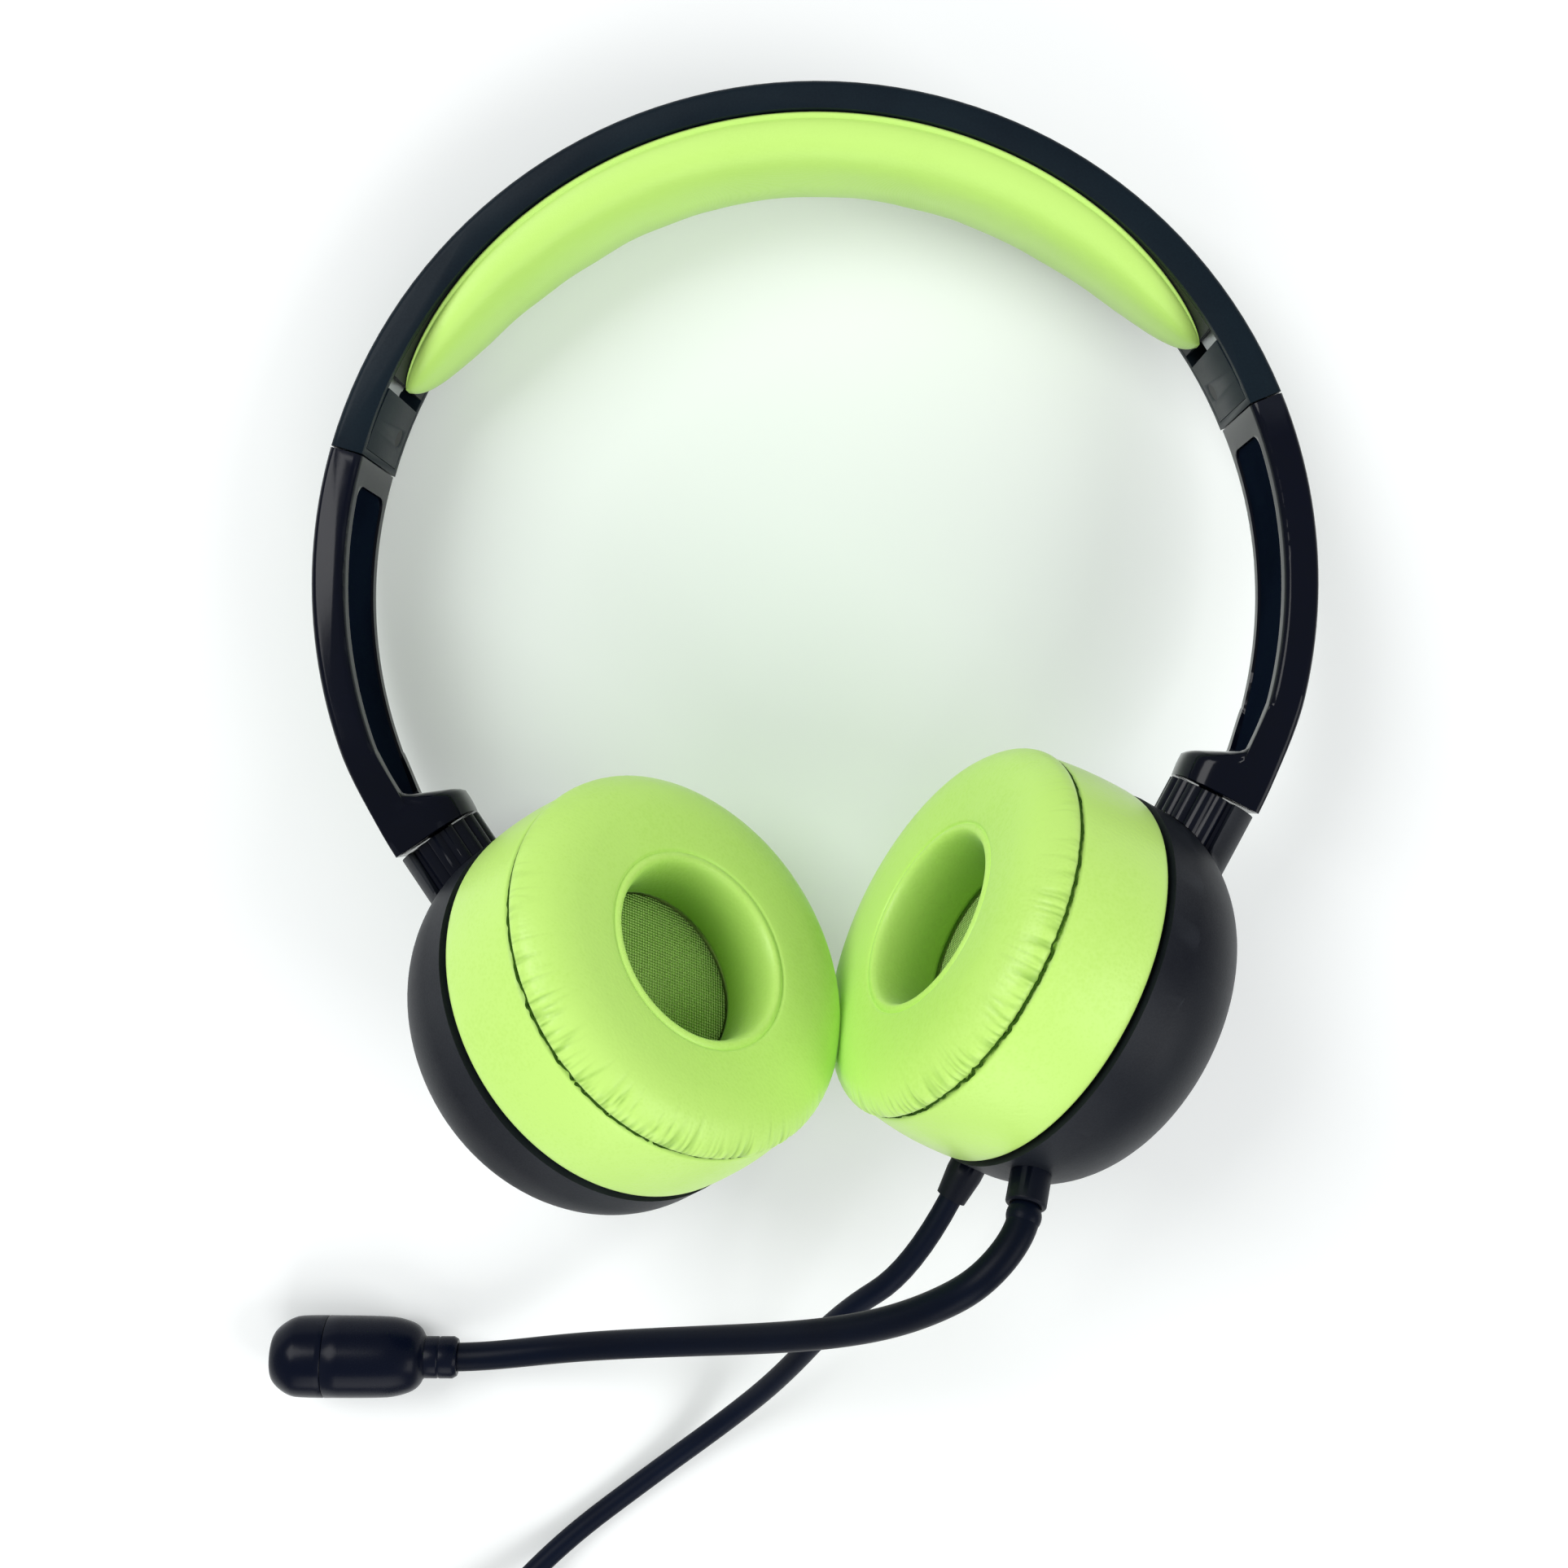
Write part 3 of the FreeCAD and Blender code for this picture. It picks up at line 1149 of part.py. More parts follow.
def make_boom():
    """The boom with the ball at its foot, and the microphone that it carries."""
    foot = right_boot(boom_boot_angle, boom_boot_length + ball_out)
    points = [foot.Base, foot.Base + z_axis(foot) * boom_straight.value] + BOOM_POINTS
    mic_way = (points[-1] - points[-2]).normalize()
    directions = free_directions(points[1:], z_axis(foot), mic_way)
    edges = [Part.makeLine(points[0], points[1])] + biarcs(points[1:], directions)
    stem = tube("boom_stem", edges, boom_radius.value)
    ball = bind(doc.addObject("Part::Sphere", "boom_ball"), Radius=ball_radius)
    ball.Placement = Placement(foot.Base, Rotation())
    node(fused("boom_rod", stem, ball), "boom_tube", HERE)

    up = Vector(0, 0, 1)
    across = up.cross(mic_way).normalize()
    start = axes(points[-1] - mic_way * collar_grip.value, across, mic_way.cross(across), mic_way)
    slim = boom_radius + 0.7
    collar = turned(
        "collar",
        [
            (boom_radius, sized(0)),
            (slim, sized(0)),
            (collar_radius, 0.8),
            (collar_radius, collar_length),
            (sized(0), collar_length),
            (sized(0), collar_grip),
            (boom_radius, collar_grip),
        ],
    )
    node(collar, "mic_collar", start)
    place = start.multiply(Placement(spot(0, 0, collar_length), Rotation()))
    bore = mic_radius - mic_wall
    nose = mic_length - mic_part
    housing = turned(
        "housing",
        [
            (sized(0), sized(0)),
            (collar_radius + 0.3, sized(0)),
            (mic_radius, mic_taper),
            (mic_radius, mic_part),
            (bore, mic_part),
            (bore, mic_taper + mic_wall),
            (sized(0), mic_taper + mic_wall),
        ],
        {1: -3 * mic_taper},
    )
    node(housing, "mic_housing", place)
    lip = 2.5
    cap = turned(
        "cap",
        [
            (bore - fit_gap - 1, mic_part - lip),
            (bore - fit_gap, mic_part - lip),
            (bore - fit_gap, mic_part),
            (mic_radius, mic_part),
            (mic_radius, mic_length - 0.62 * nose),
            (0.45 * mic_radius, mic_length),
            (sized(0), mic_length),
            (sized(0), mic_length - mic_wall),
            (0.3 * mic_radius, mic_length - mic_wall),
            (bore - fit_gap - 1, mic_length - 0.65 * nose),
        ],
        {4: 0.97 * mic_radius, 8: -0.97 * mic_radius},
    )
    out = spot(sine(sound_port_turn), cosine(sound_port_turn), 0) * -1
    port = rod("port", sound_port, mic_radius, along(out, spot(0, 0, sound_port_place)))
    node(cut("cap_with_port", cap, port), "mic_cap", place)
    element = rod("element", mic_element_radius, mic_element_length)
    depth = Placement(spot(0, 0, mic_part - 0.5 * mic_element_length), Rotation())
    node(element, "mic_element", place.multiply(depth))


def coil_point(turn):
    """A point of the cable's middle line in the coil, by how many turns it is from the coil's
    middle. The line spirals in along the upper layer, drops in the half turn where it is
    innermost, and spirals out along the lower one."""
    away = abs(turn)
    spread = away - 0.125 if away > 0.25 else 2 * away**2
    radius = coil_inner.value + coil_pitch.value * spread
    drop = 0.5 - 0.5 * math.sin(math.pi * max(-0.5, min(0.5, 2 * turn)))
    angle = math.radians(coil_entry.value) + 2 * math.pi * (turn + 0.5 * layer_turns + 2.5)
    height = coil_rise.value + cable_radius.value + coil_layer.value * drop
    return COIL_CENTRE + Vector(radius * math.cos(angle), radius * math.sin(angle), height)


def coil_way(turn):
    step = 1e-4
    return (coil_point(turn + step) - coil_point(turn - step)).normalize()


def self_gap(edges, thick):
    """Least distance between two stretches of a wound tube that aren't neighbours along it."""
    spots = []
    run = 0
    for edge in edges:
        count = max(2, int(edge.Length / 1.5))
        for number in range(count):
            share = edge.FirstParameter + (edge.LastParameter - edge.FirstParameter) * number / count
            spots.append((run + edge.Length * number / count, edge.valueAt(share)))
        run += edge.Length
    least = thick * 10
    for number, (place, here) in enumerate(spots):
        for other, there in spots[number + 1 :]:
            if other - place > 3 * math.pi * thick:
                least = min(least, here.distanceToPoint(there))
    return least - thick


def make_cord():
    """Cable, coil with its tie, and plug."""
    half_turns = layer_turns + 0.25
    turns = [-half_turns + 0.25 * number for number in range(int(8 * half_turns) + 1)]
    points = [coil_point(turn) for turn in turns]
    directions = [coil_way(turn) for turn in turns]
    thick = 2 * cable_radius.value
    inlet = points[0] - directions[0] * thick
    level = Vector(directions[-1].x, directions[-1].y, 0).normalize()
    plug_height = Vector(0, 0, plug_body_radius.value)
    tail = points[-1] + level * (tail_length.value - thick)
    tail = Vector(tail.x, tail.y, 0) + plug_height
    wound = biarcs(points + [tail], directions + [level])
    edges = [Part.makeLine(inlet, points[0])] + wound + [Part.makeLine(tail, tail + level * thick)]
    node(tube("coil", edges, cable_radius.value), "cable_coil", HERE)
    print(f"least gap of the coil to itself: {self_gap(edges[1:-2], thick):.2f} mm")

    foot = right_boot(sized(0), cable_boot_length)
    route = [foot.Base, foot.Base + z_axis(foot) * cable_straight.value] + CABLE_POINTS
    route += [inlet - directions[0] * inlet_straight.value, inlet]
    node(tube("run", cord_edges(route, thick), cable_radius.value), "cable", HERE)

    place = axes(tail + level * thick, Vector(0, 0, 1).cross(level), Vector(0, 0, 1), level)
    make_plug(place)
    make_tie()


def make_tie():
    """A strap round the coil's turns."""
    inner = coil_inner - cable_radius - tie_room
    outer = coil_inner + (layer_turns + 0.125) * coil_pitch + cable_radius + tie_room
    top = coil_rise + 2 * cable_radius + coil_layer + tie_room
    low = coil_rise - tie_room - tie_thick + 0.05
    ring = block(
        "tie_ring",
        outer - inner + 2 * tie_thick,
        tie_width,
        top + tie_thick - low,
        Placement(spot(0.5 * (inner + outer), 0, 0.5 * (top + tie_thick + low)), Rotation()),
    )
    hole = block(
        "tie_hole",
        outer - inner,
        2 * tie_width,
        top - low - tie_thick,
        Placement(spot(0.5 * (inner + outer), 0, 0.5 * (top + low + tie_thick)), Rotation()),
    )
    turn = Rotation(Vector(0, 0, 1), coil_entry.value + 100)
    node(cut("tie", ring, hole), "cable_tie", Placement(COIL_CENTRE, turn))


def make_plug(place):
    """A four-pole plug: strain relief, grip, contacts and the rings between them."""
    sleeve = turned(
        "plug_sleeve",
        [
            (sized(0), sized(0)),
            (cable_radius + 0.6, sized(0)),
            (plug_body_radius - 0.9, plug_sleeve_length),
            (sized(0), plug_sleeve_length),
        ],
    )
    node(sleeve, "plug_boot", place)
    grip_place = place.multiply(Placement(spot(0, 0, plug_sleeve_length), Rotation()))
    grip = turned(
        "grip",
        [
            (sized(0), sized(0)),
            (plug_body_radius - 0.5, sized(0)),
            (plug_body_radius, 1),
            (plug_body_radius, plug_body_length - 2),
            (jack_shoulder, plug_body_length),
            (sized(0), plug_body_length),
        ],
        {3: 3 * (plug_body_radius - jack_shoulder)},
    )
    node(grip, "plug_body", grip_place)
    jack_place = grip_place.multiply(Placement(spot(0, 0, plug_body_length), Rotation()))
    pieces = []
    rings = []
    tip_start = jack_length - 4
    starts = [sized(0), tip_start - 2 * jack_gap - 2 * jack_ring, tip_start - jack_gap - jack_ring]
    stops = [starts[1] - jack_gap, starts[1] + jack_ring, starts[2] + jack_ring]
    for number, (start, stop) in enumerate(zip(starts, stops)):
        first = number == 0
        pole = turned(
            f"pole_{number}",
            [
                (sized(0) if first else jack_core, start),
                (jack_radius, start),
                (jack_radius, stop),
                (sized(0) if first else jack_core, stop),
            ],
        )
        pieces.append(pole)
        ring = turned(
            f"insulator_{number}",
            [
                (jack_core if number < 2 else sized(0), stop),
                (jack_radius, stop),
                (jack_radius, stop + jack_gap),
                (jack_core if number < 2 else sized(0), stop + jack_gap),
            ],
        )
        rings.append(ring)
    core = turned(
        "jack_core_rod",
        [(sized(0), stops[0]), (jack_core, stops[0]), (jack_core, stops[2]), (sized(0), stops[2])],
    )
    tip = turned(
        "jack_tip",
        [
            (sized(0), tip_start),
            (jack_radius, tip_start),
            (jack_radius, tip_start + 0.5),
            (jack_radius - 0.45, tip_start + 1.5),
            (jack_radius, tip_start + 2.3),
            (0.3 * jack_radius, jack_length),
            (sized(0), jack_length),
        ],
    )
    node(group("poles", pieces + [tip]), "jack_contacts", jack_place)
    node(fused("insulators", core, *rings), "jack_insulators", jack_place)


# Boom: heights over the table fall from the boot to the microphone, which lies on the table
BOOM_POINTS = [
    Vector(30.27, -75.1, 60.3),
    Vector(23.77, -79.8, 57.6),
    Vector(14.77, -85.8, 50.4),
    Vector(1.67, -91.5, 39.2),
    Vector(-15.83, -96.9, 25.0),
    Vector(-36.43, -101.5, 13.0),
    Vector(-48.43, -103.8, 9.0),
    Vector(-57.13, -104.7, 7.1),
    Vector(-62.13, -104.3, 7.1),
]

# Cable: out of its boot, down to the table, under the boom and on to the coil
CABLE_POINTS = [
    Vector(8.87, -92.9, 27.5),
    Vector(-1.13, -109.1, 14.0),
    Vector(-11.03, -120.5, 5.0),
    Vector(-25.83, -131.6, 1.9),
    Vector(-43.93, -143.9, 1.9),
]
COIL_CENTRE = Vector(-55.33, -195.4, 0)


make_headband_shell()
make_band_insides()
make_headband_pad()
make_band_ends()
make_arms()
make_cups()
make_cable_side()
make_boom()
make_cord()

doc.recompute()
failed = [thing.Name for thing in doc.Objects if {"Invalid", "Error"} & set(thing.State)]
if failed:
    raise RuntimeError(f"failed: {failed}")
for thing in nodes:
    if thing.Shape.isNull() or not thing.Shape.isValid():
        raise RuntimeError(f"{thing.Label} has no valid shape")

os.makedirs("parts", exist_ok=True)
for thing in nodes:
    thing.Shape.exportStep(f"parts/{thing.Label}.step")
print(len(nodes), "sub-parts")
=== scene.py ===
"""Looks of a wired on-ear headset with a bendable boom microphone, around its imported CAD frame.

Lengths of the object are in millimetres of the CAD source's own frames and are placed in the row
frame in metres. Head frame: the band's circle in the XY plane, the wearer's front along +Z. Cup
frame: Z from the cup to the ear, Y up its neck, X across.
"""

from __future__ import annotations

import json
import logging
import math
from dataclasses import dataclass, field
from enum import Enum
from typing import Callable, Optional, Sequence, Union

import bmesh
import bpy
from mathutils import Matrix, Vector, noise

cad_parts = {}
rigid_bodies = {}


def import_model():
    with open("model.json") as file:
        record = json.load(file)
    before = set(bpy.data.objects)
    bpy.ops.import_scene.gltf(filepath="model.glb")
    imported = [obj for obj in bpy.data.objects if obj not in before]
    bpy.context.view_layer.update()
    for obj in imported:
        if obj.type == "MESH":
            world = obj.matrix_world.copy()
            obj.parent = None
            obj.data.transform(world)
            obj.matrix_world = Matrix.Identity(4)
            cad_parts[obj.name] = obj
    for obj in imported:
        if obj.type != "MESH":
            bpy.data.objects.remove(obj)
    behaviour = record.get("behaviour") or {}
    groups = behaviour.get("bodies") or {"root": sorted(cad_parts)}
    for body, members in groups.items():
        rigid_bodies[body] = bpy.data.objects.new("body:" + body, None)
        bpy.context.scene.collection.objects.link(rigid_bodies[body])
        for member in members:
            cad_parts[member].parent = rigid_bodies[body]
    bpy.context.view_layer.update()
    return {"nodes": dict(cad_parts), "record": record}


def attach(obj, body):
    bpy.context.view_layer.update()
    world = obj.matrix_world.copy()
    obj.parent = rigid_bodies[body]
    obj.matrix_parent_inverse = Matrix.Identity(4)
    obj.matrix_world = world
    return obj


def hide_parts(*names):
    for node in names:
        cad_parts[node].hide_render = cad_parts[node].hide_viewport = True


for thing in list(bpy.data.objects):
    bpy.data.objects.remove(thing)
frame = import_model()

log = logging.getLogger("headset")
MM = 0.001
NEAR = 1e-4
FULL_TURN = 2 * math.pi
UP = Vector((0, 0, 1))
Colour = tuple[float, float, float]
Place = tuple[float, float, float]
Corner = tuple[float, float]
Span = tuple[float, float]
Tree = bpy.types.NodeTree
Socket = bpy.types.NodeSocket
Value = Union[Socket, float, Sequence[float]]


class Side(Enum):
    """The two sides, by the sign of X in the head frame. RIGHT carries the boom and the cable."""

    LEFT = -1
    RIGHT = 1

    @property
    def label(self) -> str:
        """The side's part of the CAD nodes' names."""
        return self.name.lower()


class Surface(Enum):
    """The fine relief that a finish has."""

    GRAIN = "grain"
    HIDE = "hide"
    WEAVE = "weave"
    SATIN = "satin"


@dataclass(frozen=True)
class Finish:
    """One finish: its two colours, gloss and relief, with the relief's size and depth in millimetres.

    spread is how far the roughness wanders, wear how much of the edges is rubbed, and deep the
    colour of painted shade in folds, hollows and shaded sides, where the mesh marks them.
    """

    name: str
    colour: Colour
    second: Colour
    roughness: float
    spread: float = 0.08
    surface: Surface = Surface.GRAIN
    size: float = 0.5
    depth: float = 0.03
    metallic: float = 0.0
    gloss: float = 0.5
    sheen: float = 0.0
    wear: float = 0.0
    # Colour of painted shade, mixed in where the mesh's shade attribute marks folds, hollows and shaded sides
    deep: Optional[Colour] = None


def metal(name: str, colour: Colour, second: Colour, roughness: float, size: float) -> Finish:
    """The finish of a bare metal, with its relief's size."""
    return Finish(name, colour, second, roughness, size=size, depth=0.01, metallic=1.0)


BLACK = (0.0022, 0.0034, 0.0085)
LIME = (0.60, 0.93, 0.205)
# Painted shade colour that the lime pad and cushions darken toward
SHADE_GREEN = (0.20, 0.42, 0.035)
WORN = (0.09, 0.10, 0.12)
FINISHES: dict[str, Finish] = {
    finish.name: finish
    for finish in (
        Finish(
            "band_plastic", (0.0075, 0.0150, 0.0225), (0.004, 0.008, 0.014), 0.38,
            size=0.35, depth=0.010, gloss=0.08,
        ),
        Finish(
            "arm_plastic", BLACK, (0.0018, 0.0030, 0.0105), 0.14, 0.04,
            size=0.9, depth=0.003, gloss=0.14, wear=0.1,
        ),
        Finish(
            "panel_plastic", (0.0046, 0.0082, 0.0190), BLACK, 0.55,
            size=0.28, depth=0.02, gloss=0.0, wear=0.1,
        ),
        Finish(
            "shell_plastic", (0.0100, 0.0128, 0.0180), BLACK, 0.46,
            size=0.3, depth=0.016, gloss=0.16, wear=0.2,
        ),
        Finish(
            "pad_fabric", LIME, (0.56, 0.89, 0.175), 0.42, 0.1, Surface.SATIN,
            size=0.26, depth=0.018, gloss=0.4, sheen=0.25, deep=SHADE_GREEN,
        ),
        Finish(
            "cushion_leather", LIME, (0.55, 0.885, 0.165), 0.44, 0.12, Surface.HIDE,
            size=0.55, depth=0.032, gloss=0.35, sheen=0.12, deep=SHADE_GREEN,
        ),
        Finish(
            "seam_thread", (0.030, 0.095, 0.005), (0.05, 0.14, 0.008), 0.8, 0.05, Surface.WEAVE,
            size=0.2, depth=0.05, gloss=0.1,
        ),
        Finish(
            "speaker_cloth", (0.60, 0.88, 0.28), (0.25, 0.46, 0.075), 0.85, 0.05, Surface.WEAVE,
            size=0.72, depth=0.20, gloss=0.1,
        ),
        Finish(
            "nylon", (0.010, 0.012, 0.017), (0.006, 0.007, 0.010), 0.65, 0.08, Surface.WEAVE,
            size=0.5, depth=0.08, gloss=0.3,
        ),
        metal("steel", (0.40, 0.41, 0.43), (0.30, 0.31, 0.33), 0.34, 0.2),
        metal("spring_steel", (0.50, 0.50, 0.50), (0.38, 0.38, 0.39), 0.28, 0.3),
        metal("copper_wire", (0.55, 0.24, 0.12), (0.45, 0.18, 0.08), 0.35, 0.3),
        metal("magnet", (0.45, 0.45, 0.46), (0.34, 0.34, 0.35), 0.25, 0.8),
        metal("contact_metal", (0.78, 0.62, 0.28), (0.70, 0.54, 0.22), 0.22, 0.5),
        Finish(
            "dark_steel", (0.010, 0.011, 0.014), (0.006, 0.007, 0.009), 0.45,
            size=0.2, depth=0.01, gloss=0.2,
        ),
        Finish(
            "inner_plastic", (0.012, 0.014, 0.018), (0.008, 0.009, 0.012), 0.55,
            size=0.4, depth=0.02, gloss=0.3,
        ),
        Finish("membrane", (0.62, 0.55, 0.38), (0.50, 0.44, 0.30), 0.3, size=1.2),
        Finish("board", (0.03, 0.16, 0.07), (0.02, 0.10, 0.05), 0.4, size=1.0, depth=0.02),
        Finish("boom_rubber", (0.0030, 0.0058, 0.0150), BLACK, 0.38, size=0.3, depth=0.015, gloss=0.07),
        Finish("boot_rubber", (0.0032, 0.0052, 0.0120), BLACK, 0.46, size=0.3, depth=0.02, gloss=0.14),
        Finish(
            "cable_rubber", (0.0038, 0.0072, 0.0190), (0.003, 0.005, 0.013), 0.44,
            size=0.35, depth=0.015, gloss=0.07,
        ),
        Finish(
            "mic_plastic", (0.0022, 0.0040, 0.0125), (0.003, 0.005, 0.014), 0.26,
            size=0.35, depth=0.008, gloss=0.10, wear=0.1,
        ),
        Finish(
            "insulator", (0.006, 0.007, 0.009), (0.004, 0.005, 0.006), 0.45,
            depth=0.02, gloss=0.3,
        ),
    )
}


@dataclass(frozen=True)
class HeadSizes:
    """Where the band, the arms and the cups stand in the head frame, and how it all lies.

    pitch, roll, across, along and lift lay the head frame on the table. The swivels are the cups'
    turns at rest, and boot_height is where the boots stand above a cup's back.
    """

    pitch: float = -6.079
    roll: float = -3.470
    across: float = 11.124
    along: float = 29.003
    lift: float = 20.647
    neck_lean: float = 31.0
    neck_angle: float = 120.0
    neck_radius: float = 73.8
    cup_drop: float = 39.5
    left_swivel: float = 37.0
    right_swivel: float = 20.0
    cup_radius: float = 33.0
    boot_height: float = 7.0


HEAD = HeadSizes()


def polar(radius: float, angle: float, side: Side = Side.RIGHT) -> Vector:
    """A point of the head frame, by its angle in degrees from the top of the band."""
    turn = math.radians(angle)
    return Vector((side.value * radius * math.sin(turn), radius * math.cos(turn), 0))


def around(angle: float, height: float = 0.0) -> Vector:
    """A point of the unit circle at an angle in radians from X, at a height."""
    return Vector((math.cos(angle), math.sin(angle), height))


def axes(base: Vector, x_axis: Vector, y_axis: Vector, z_axis: Vector) -> Matrix:
    """A placement with its origin and axes given.

    Args:
        base: the origin.
        x_axis: the way of its X.
        y_axis: the way of its Y.
        z_axis: the way of its Z.

    Returns:
        The placement.
    """
    placed = Matrix((x_axis, y_axis, z_axis)).transposed().to_4x4()
    placed.translation = base
    return placed


def lay() -> Matrix:
    """How the headset lies on the table.

    Returns:
        The resting placement of the head frame, in millimetres.
    """
    pitch = Matrix.Rotation(math.radians(HEAD.pitch), 4, "X")
    roll = Matrix.Rotation(math.radians(HEAD.roll), 4, "Y")
    return Matrix.Translation((HEAD.across, HEAD.along, HEAD.lift)) @ (roll @ pitch)


def cup_frame(side: Side) -> Matrix:
    """The frame of a cup at rest.

    Args:
        side: the cup's side.

    Returns:
        The frame, in millimetres of the row frame.
    """
    lean = math.radians(HEAD.neck_lean)
    turn = math.radians(HEAD.left_swivel if side is Side.LEFT else HEAD.right_swivel)
    down = Vector((-side.value * math.sin(lean), -math.cos(lean), 0))
    inward = Vector((-side.value * math.cos(lean), math.sin(lean), 0))
    ear = inward * math.cos(turn) + UP * math.sin(turn)
    base = polar(HEAD.neck_radius, HEAD.neck_angle, side) + down * HEAD.cup_drop
    return lay() @ axes(base, (-down).cross(ear), -down, ear)


def standing(out: Vector, foot: Vector) -> Matrix:
    """A frame on a round body about Z.

    Args:
        out: the way outwards, level.
        foot: the frame's origin.

    Returns:
        The frame, with its Z outwards.
    """
    side = UP.cross(out)
    return axes(foot, side, out.cross(side), out)


def boot_frame(angle: float, offset: float) -> Matrix:
    """A place on a boot's axis at the cup that has the cable.

    Args:
        angle: degrees round the rim from its bottom.
        offset: distance outside the shell's rim.

    Returns:
        The frame with Z outwards, in millimetres of the row frame.
    """
    turn = math.radians(angle)
    out = Vector((math.sin(turn), -math.cos(turn), 0))
    foot = out * (HEAD.cup_radius + offset) + UP * HEAD.boot_height
    return cup_frame(Side.RIGHT) @ standing(out, foot)


@dataclass
class Shading:
    """Makes each finish's material once, out of shared effect groups.

    tone is the slow wander of colour and gloss, and rub the wear of edges. The scales are per metre.
    """

    tone_scale: float = 42.0
    tone_share: float = 0.7
    tone_span: Span = (0.3, 0.6)
    gloss_span: Span = (0.2, 0.8)
    crumple_share: float = 0.9
    rib_share: float = 0.6
    rub_scale: float = 160.0
    rub_edge: Span = (0.52, 0.62)
    sheen_roughness: float = 0.4
    made: dict[tuple[str, str], bpy.types.Material] = field(default_factory=dict)
    groups: dict[str, Tree] = field(default_factory=dict)

    def group(self, name: str, inputs: Sequence[tuple[str, str]], outputs: Sequence[str]) -> Tree:
        """An empty shader group with named sockets.

        Args:
            name: the group's name.
            inputs: pairs of a name and a kind, Float or Vector.
            outputs: names of the float outputs.

        Returns:
            The group, with its input and output nodes in it.
        """
        tree = bpy.data.node_groups.new(name, "ShaderNodeTree")
        for label, kind in inputs:
            tree.interface.new_socket(name=label, in_out="INPUT", socket_type=f"NodeSocket{kind}")
        for label in outputs:
            tree.interface.new_socket(name=label, in_out="OUTPUT", socket_type="NodeSocketFloat")
        tree.nodes.new("NodeGroupInput").name = "in"
        tree.nodes.new("NodeGroupOutput").name = "out"
        self.groups[name] = tree
        return tree

    @staticmethod
    def feed(tree: Tree, value: Value, socket: Socket) -> None:
        """Links a socket to another, or sets it to a number, a colour or a place.

        Args:
            tree: the tree of both.
            value: what the socket is to have.
            socket: the input.
        """
        if isinstance(value, bpy.types.NodeSocket):
            tree.links.new(value, socket)
        else:
            socket.default_value = value

    @staticmethod
    def math(tree: Tree, kind: str, *values: Value) -> Socket:
        """Adds a math node.

        Args:
            tree: the tree.
            kind: the node's operation.
            values: its inputs in order.

        Returns:
            Its output.
        """
        node = tree.nodes.new("ShaderNodeMath")
        node.operation = kind
        for number, value in enumerate(values):
            Shading.feed(tree, value, node.inputs[number])
        return node.outputs[0]

    @staticmethod
    def noisy(tree: Tree, vector: Socket, scale: float, detail: float) -> Socket:
        """Adds a noise texture.

        Args:
            tree: the tree.
            vector: where it is read.
            scale: how fine it is.
            detail: how many finer layers it has.

        Returns:
            Its value.
        """
        node = tree.nodes.new("ShaderNodeTexNoise")
        node.inputs["Scale"].default_value = scale
        node.inputs["Detail"].default_value = detail
        tree.links.new(vector, node.inputs["Vector"])
        return node.outputs["Fac"]

    @staticmethod
    def ranged(tree: Tree, value: Socket, span: Span, to: Span = (0, 1)) -> Socket:
        """Maps a value from one span to another, and keeps it within that one.

        Args:
            tree: the tree.
            value: what is mapped.
            span: from where to where it runs.
            to: what these two become.

        Returns:
            The mapped value.
        """
        node = tree.nodes.new("ShaderNodeMapRange")
        node.inputs["From Min"].default_value, node.inputs["From Max"].default_value = span
        node.inputs["To Min"].default_value, node.inputs["To Max"].default_value = to
        tree.links.new(value, node.inputs["Value"])
        return node.outputs[0]

    @staticmethod
    def mixed(tree: Tree, share: Socket, first: Union[Socket, Colour], second: Colour) -> Socket:
        """Mixes a colour toward a second one.

        Args:
            tree: the tree.
            share: how much of the second colour there is.
            first: the colour at 0.
            second: the colour at 1.

        Returns:
            The mixed colour.
        """
        node = tree.nodes.new("ShaderNodeMix")
        node.data_type = "RGBA"
        start = first if isinstance(first, bpy.types.NodeSocket) else (*first, 1)
        Shading.feed(tree, start, node.inputs["A"])
        node.inputs["B"].default_value = (*second, 1)
        tree.links.new(share, node.inputs["Factor"])
        return node.outputs["Result"]

    def relief(self, surface: Surface) -> Tree:
        """The shared group for a kind of relief: Vector and Per Metre in, Height and Tone out.

        Args:
            surface: the kind.

        Returns:
            The group, made once.
        """
        name = f"{surface.value}_relief"
        if name in self.groups:
            return self.groups[name]
        tree = self.group(name, [("Vector", "Vector"), ("Per Metre", "Float")], ["Height", "Tone"])
        start, stop = tree.nodes["in"], tree.nodes["out"]
        scaled = tree.nodes.new("ShaderNodeVectorMath")
        scaled.operation = "SCALE"
        tree.links.new(start.outputs["Vector"], scaled.inputs[0])
        tree.links.new(start.outputs["Per Metre"], scaled.inputs["Scale"])
        fine = scaled.outputs[0]
        if surface is Surface.HIDE:
            height = self.pebbled(tree, fine)
        elif surface is Surface.GRAIN:
            height = self.noisy(tree, fine, 1.0, 5.0)
        else:
            height = self.woven(tree, fine, surface)
        tree.links.new(height, stop.inputs["Height"])
        broad = self.noisy(tree, start.outputs["Vector"], self.tone_scale, 3.0)
        low = self.math(tree, "MULTIPLY", broad, self.tone_share)
        high = self.math(tree, "MULTIPLY", height, 1 - self.tone_share)
        tree.links.new(self.math(tree, "ADD", low, high), stop.inputs["Tone"])
        return tree

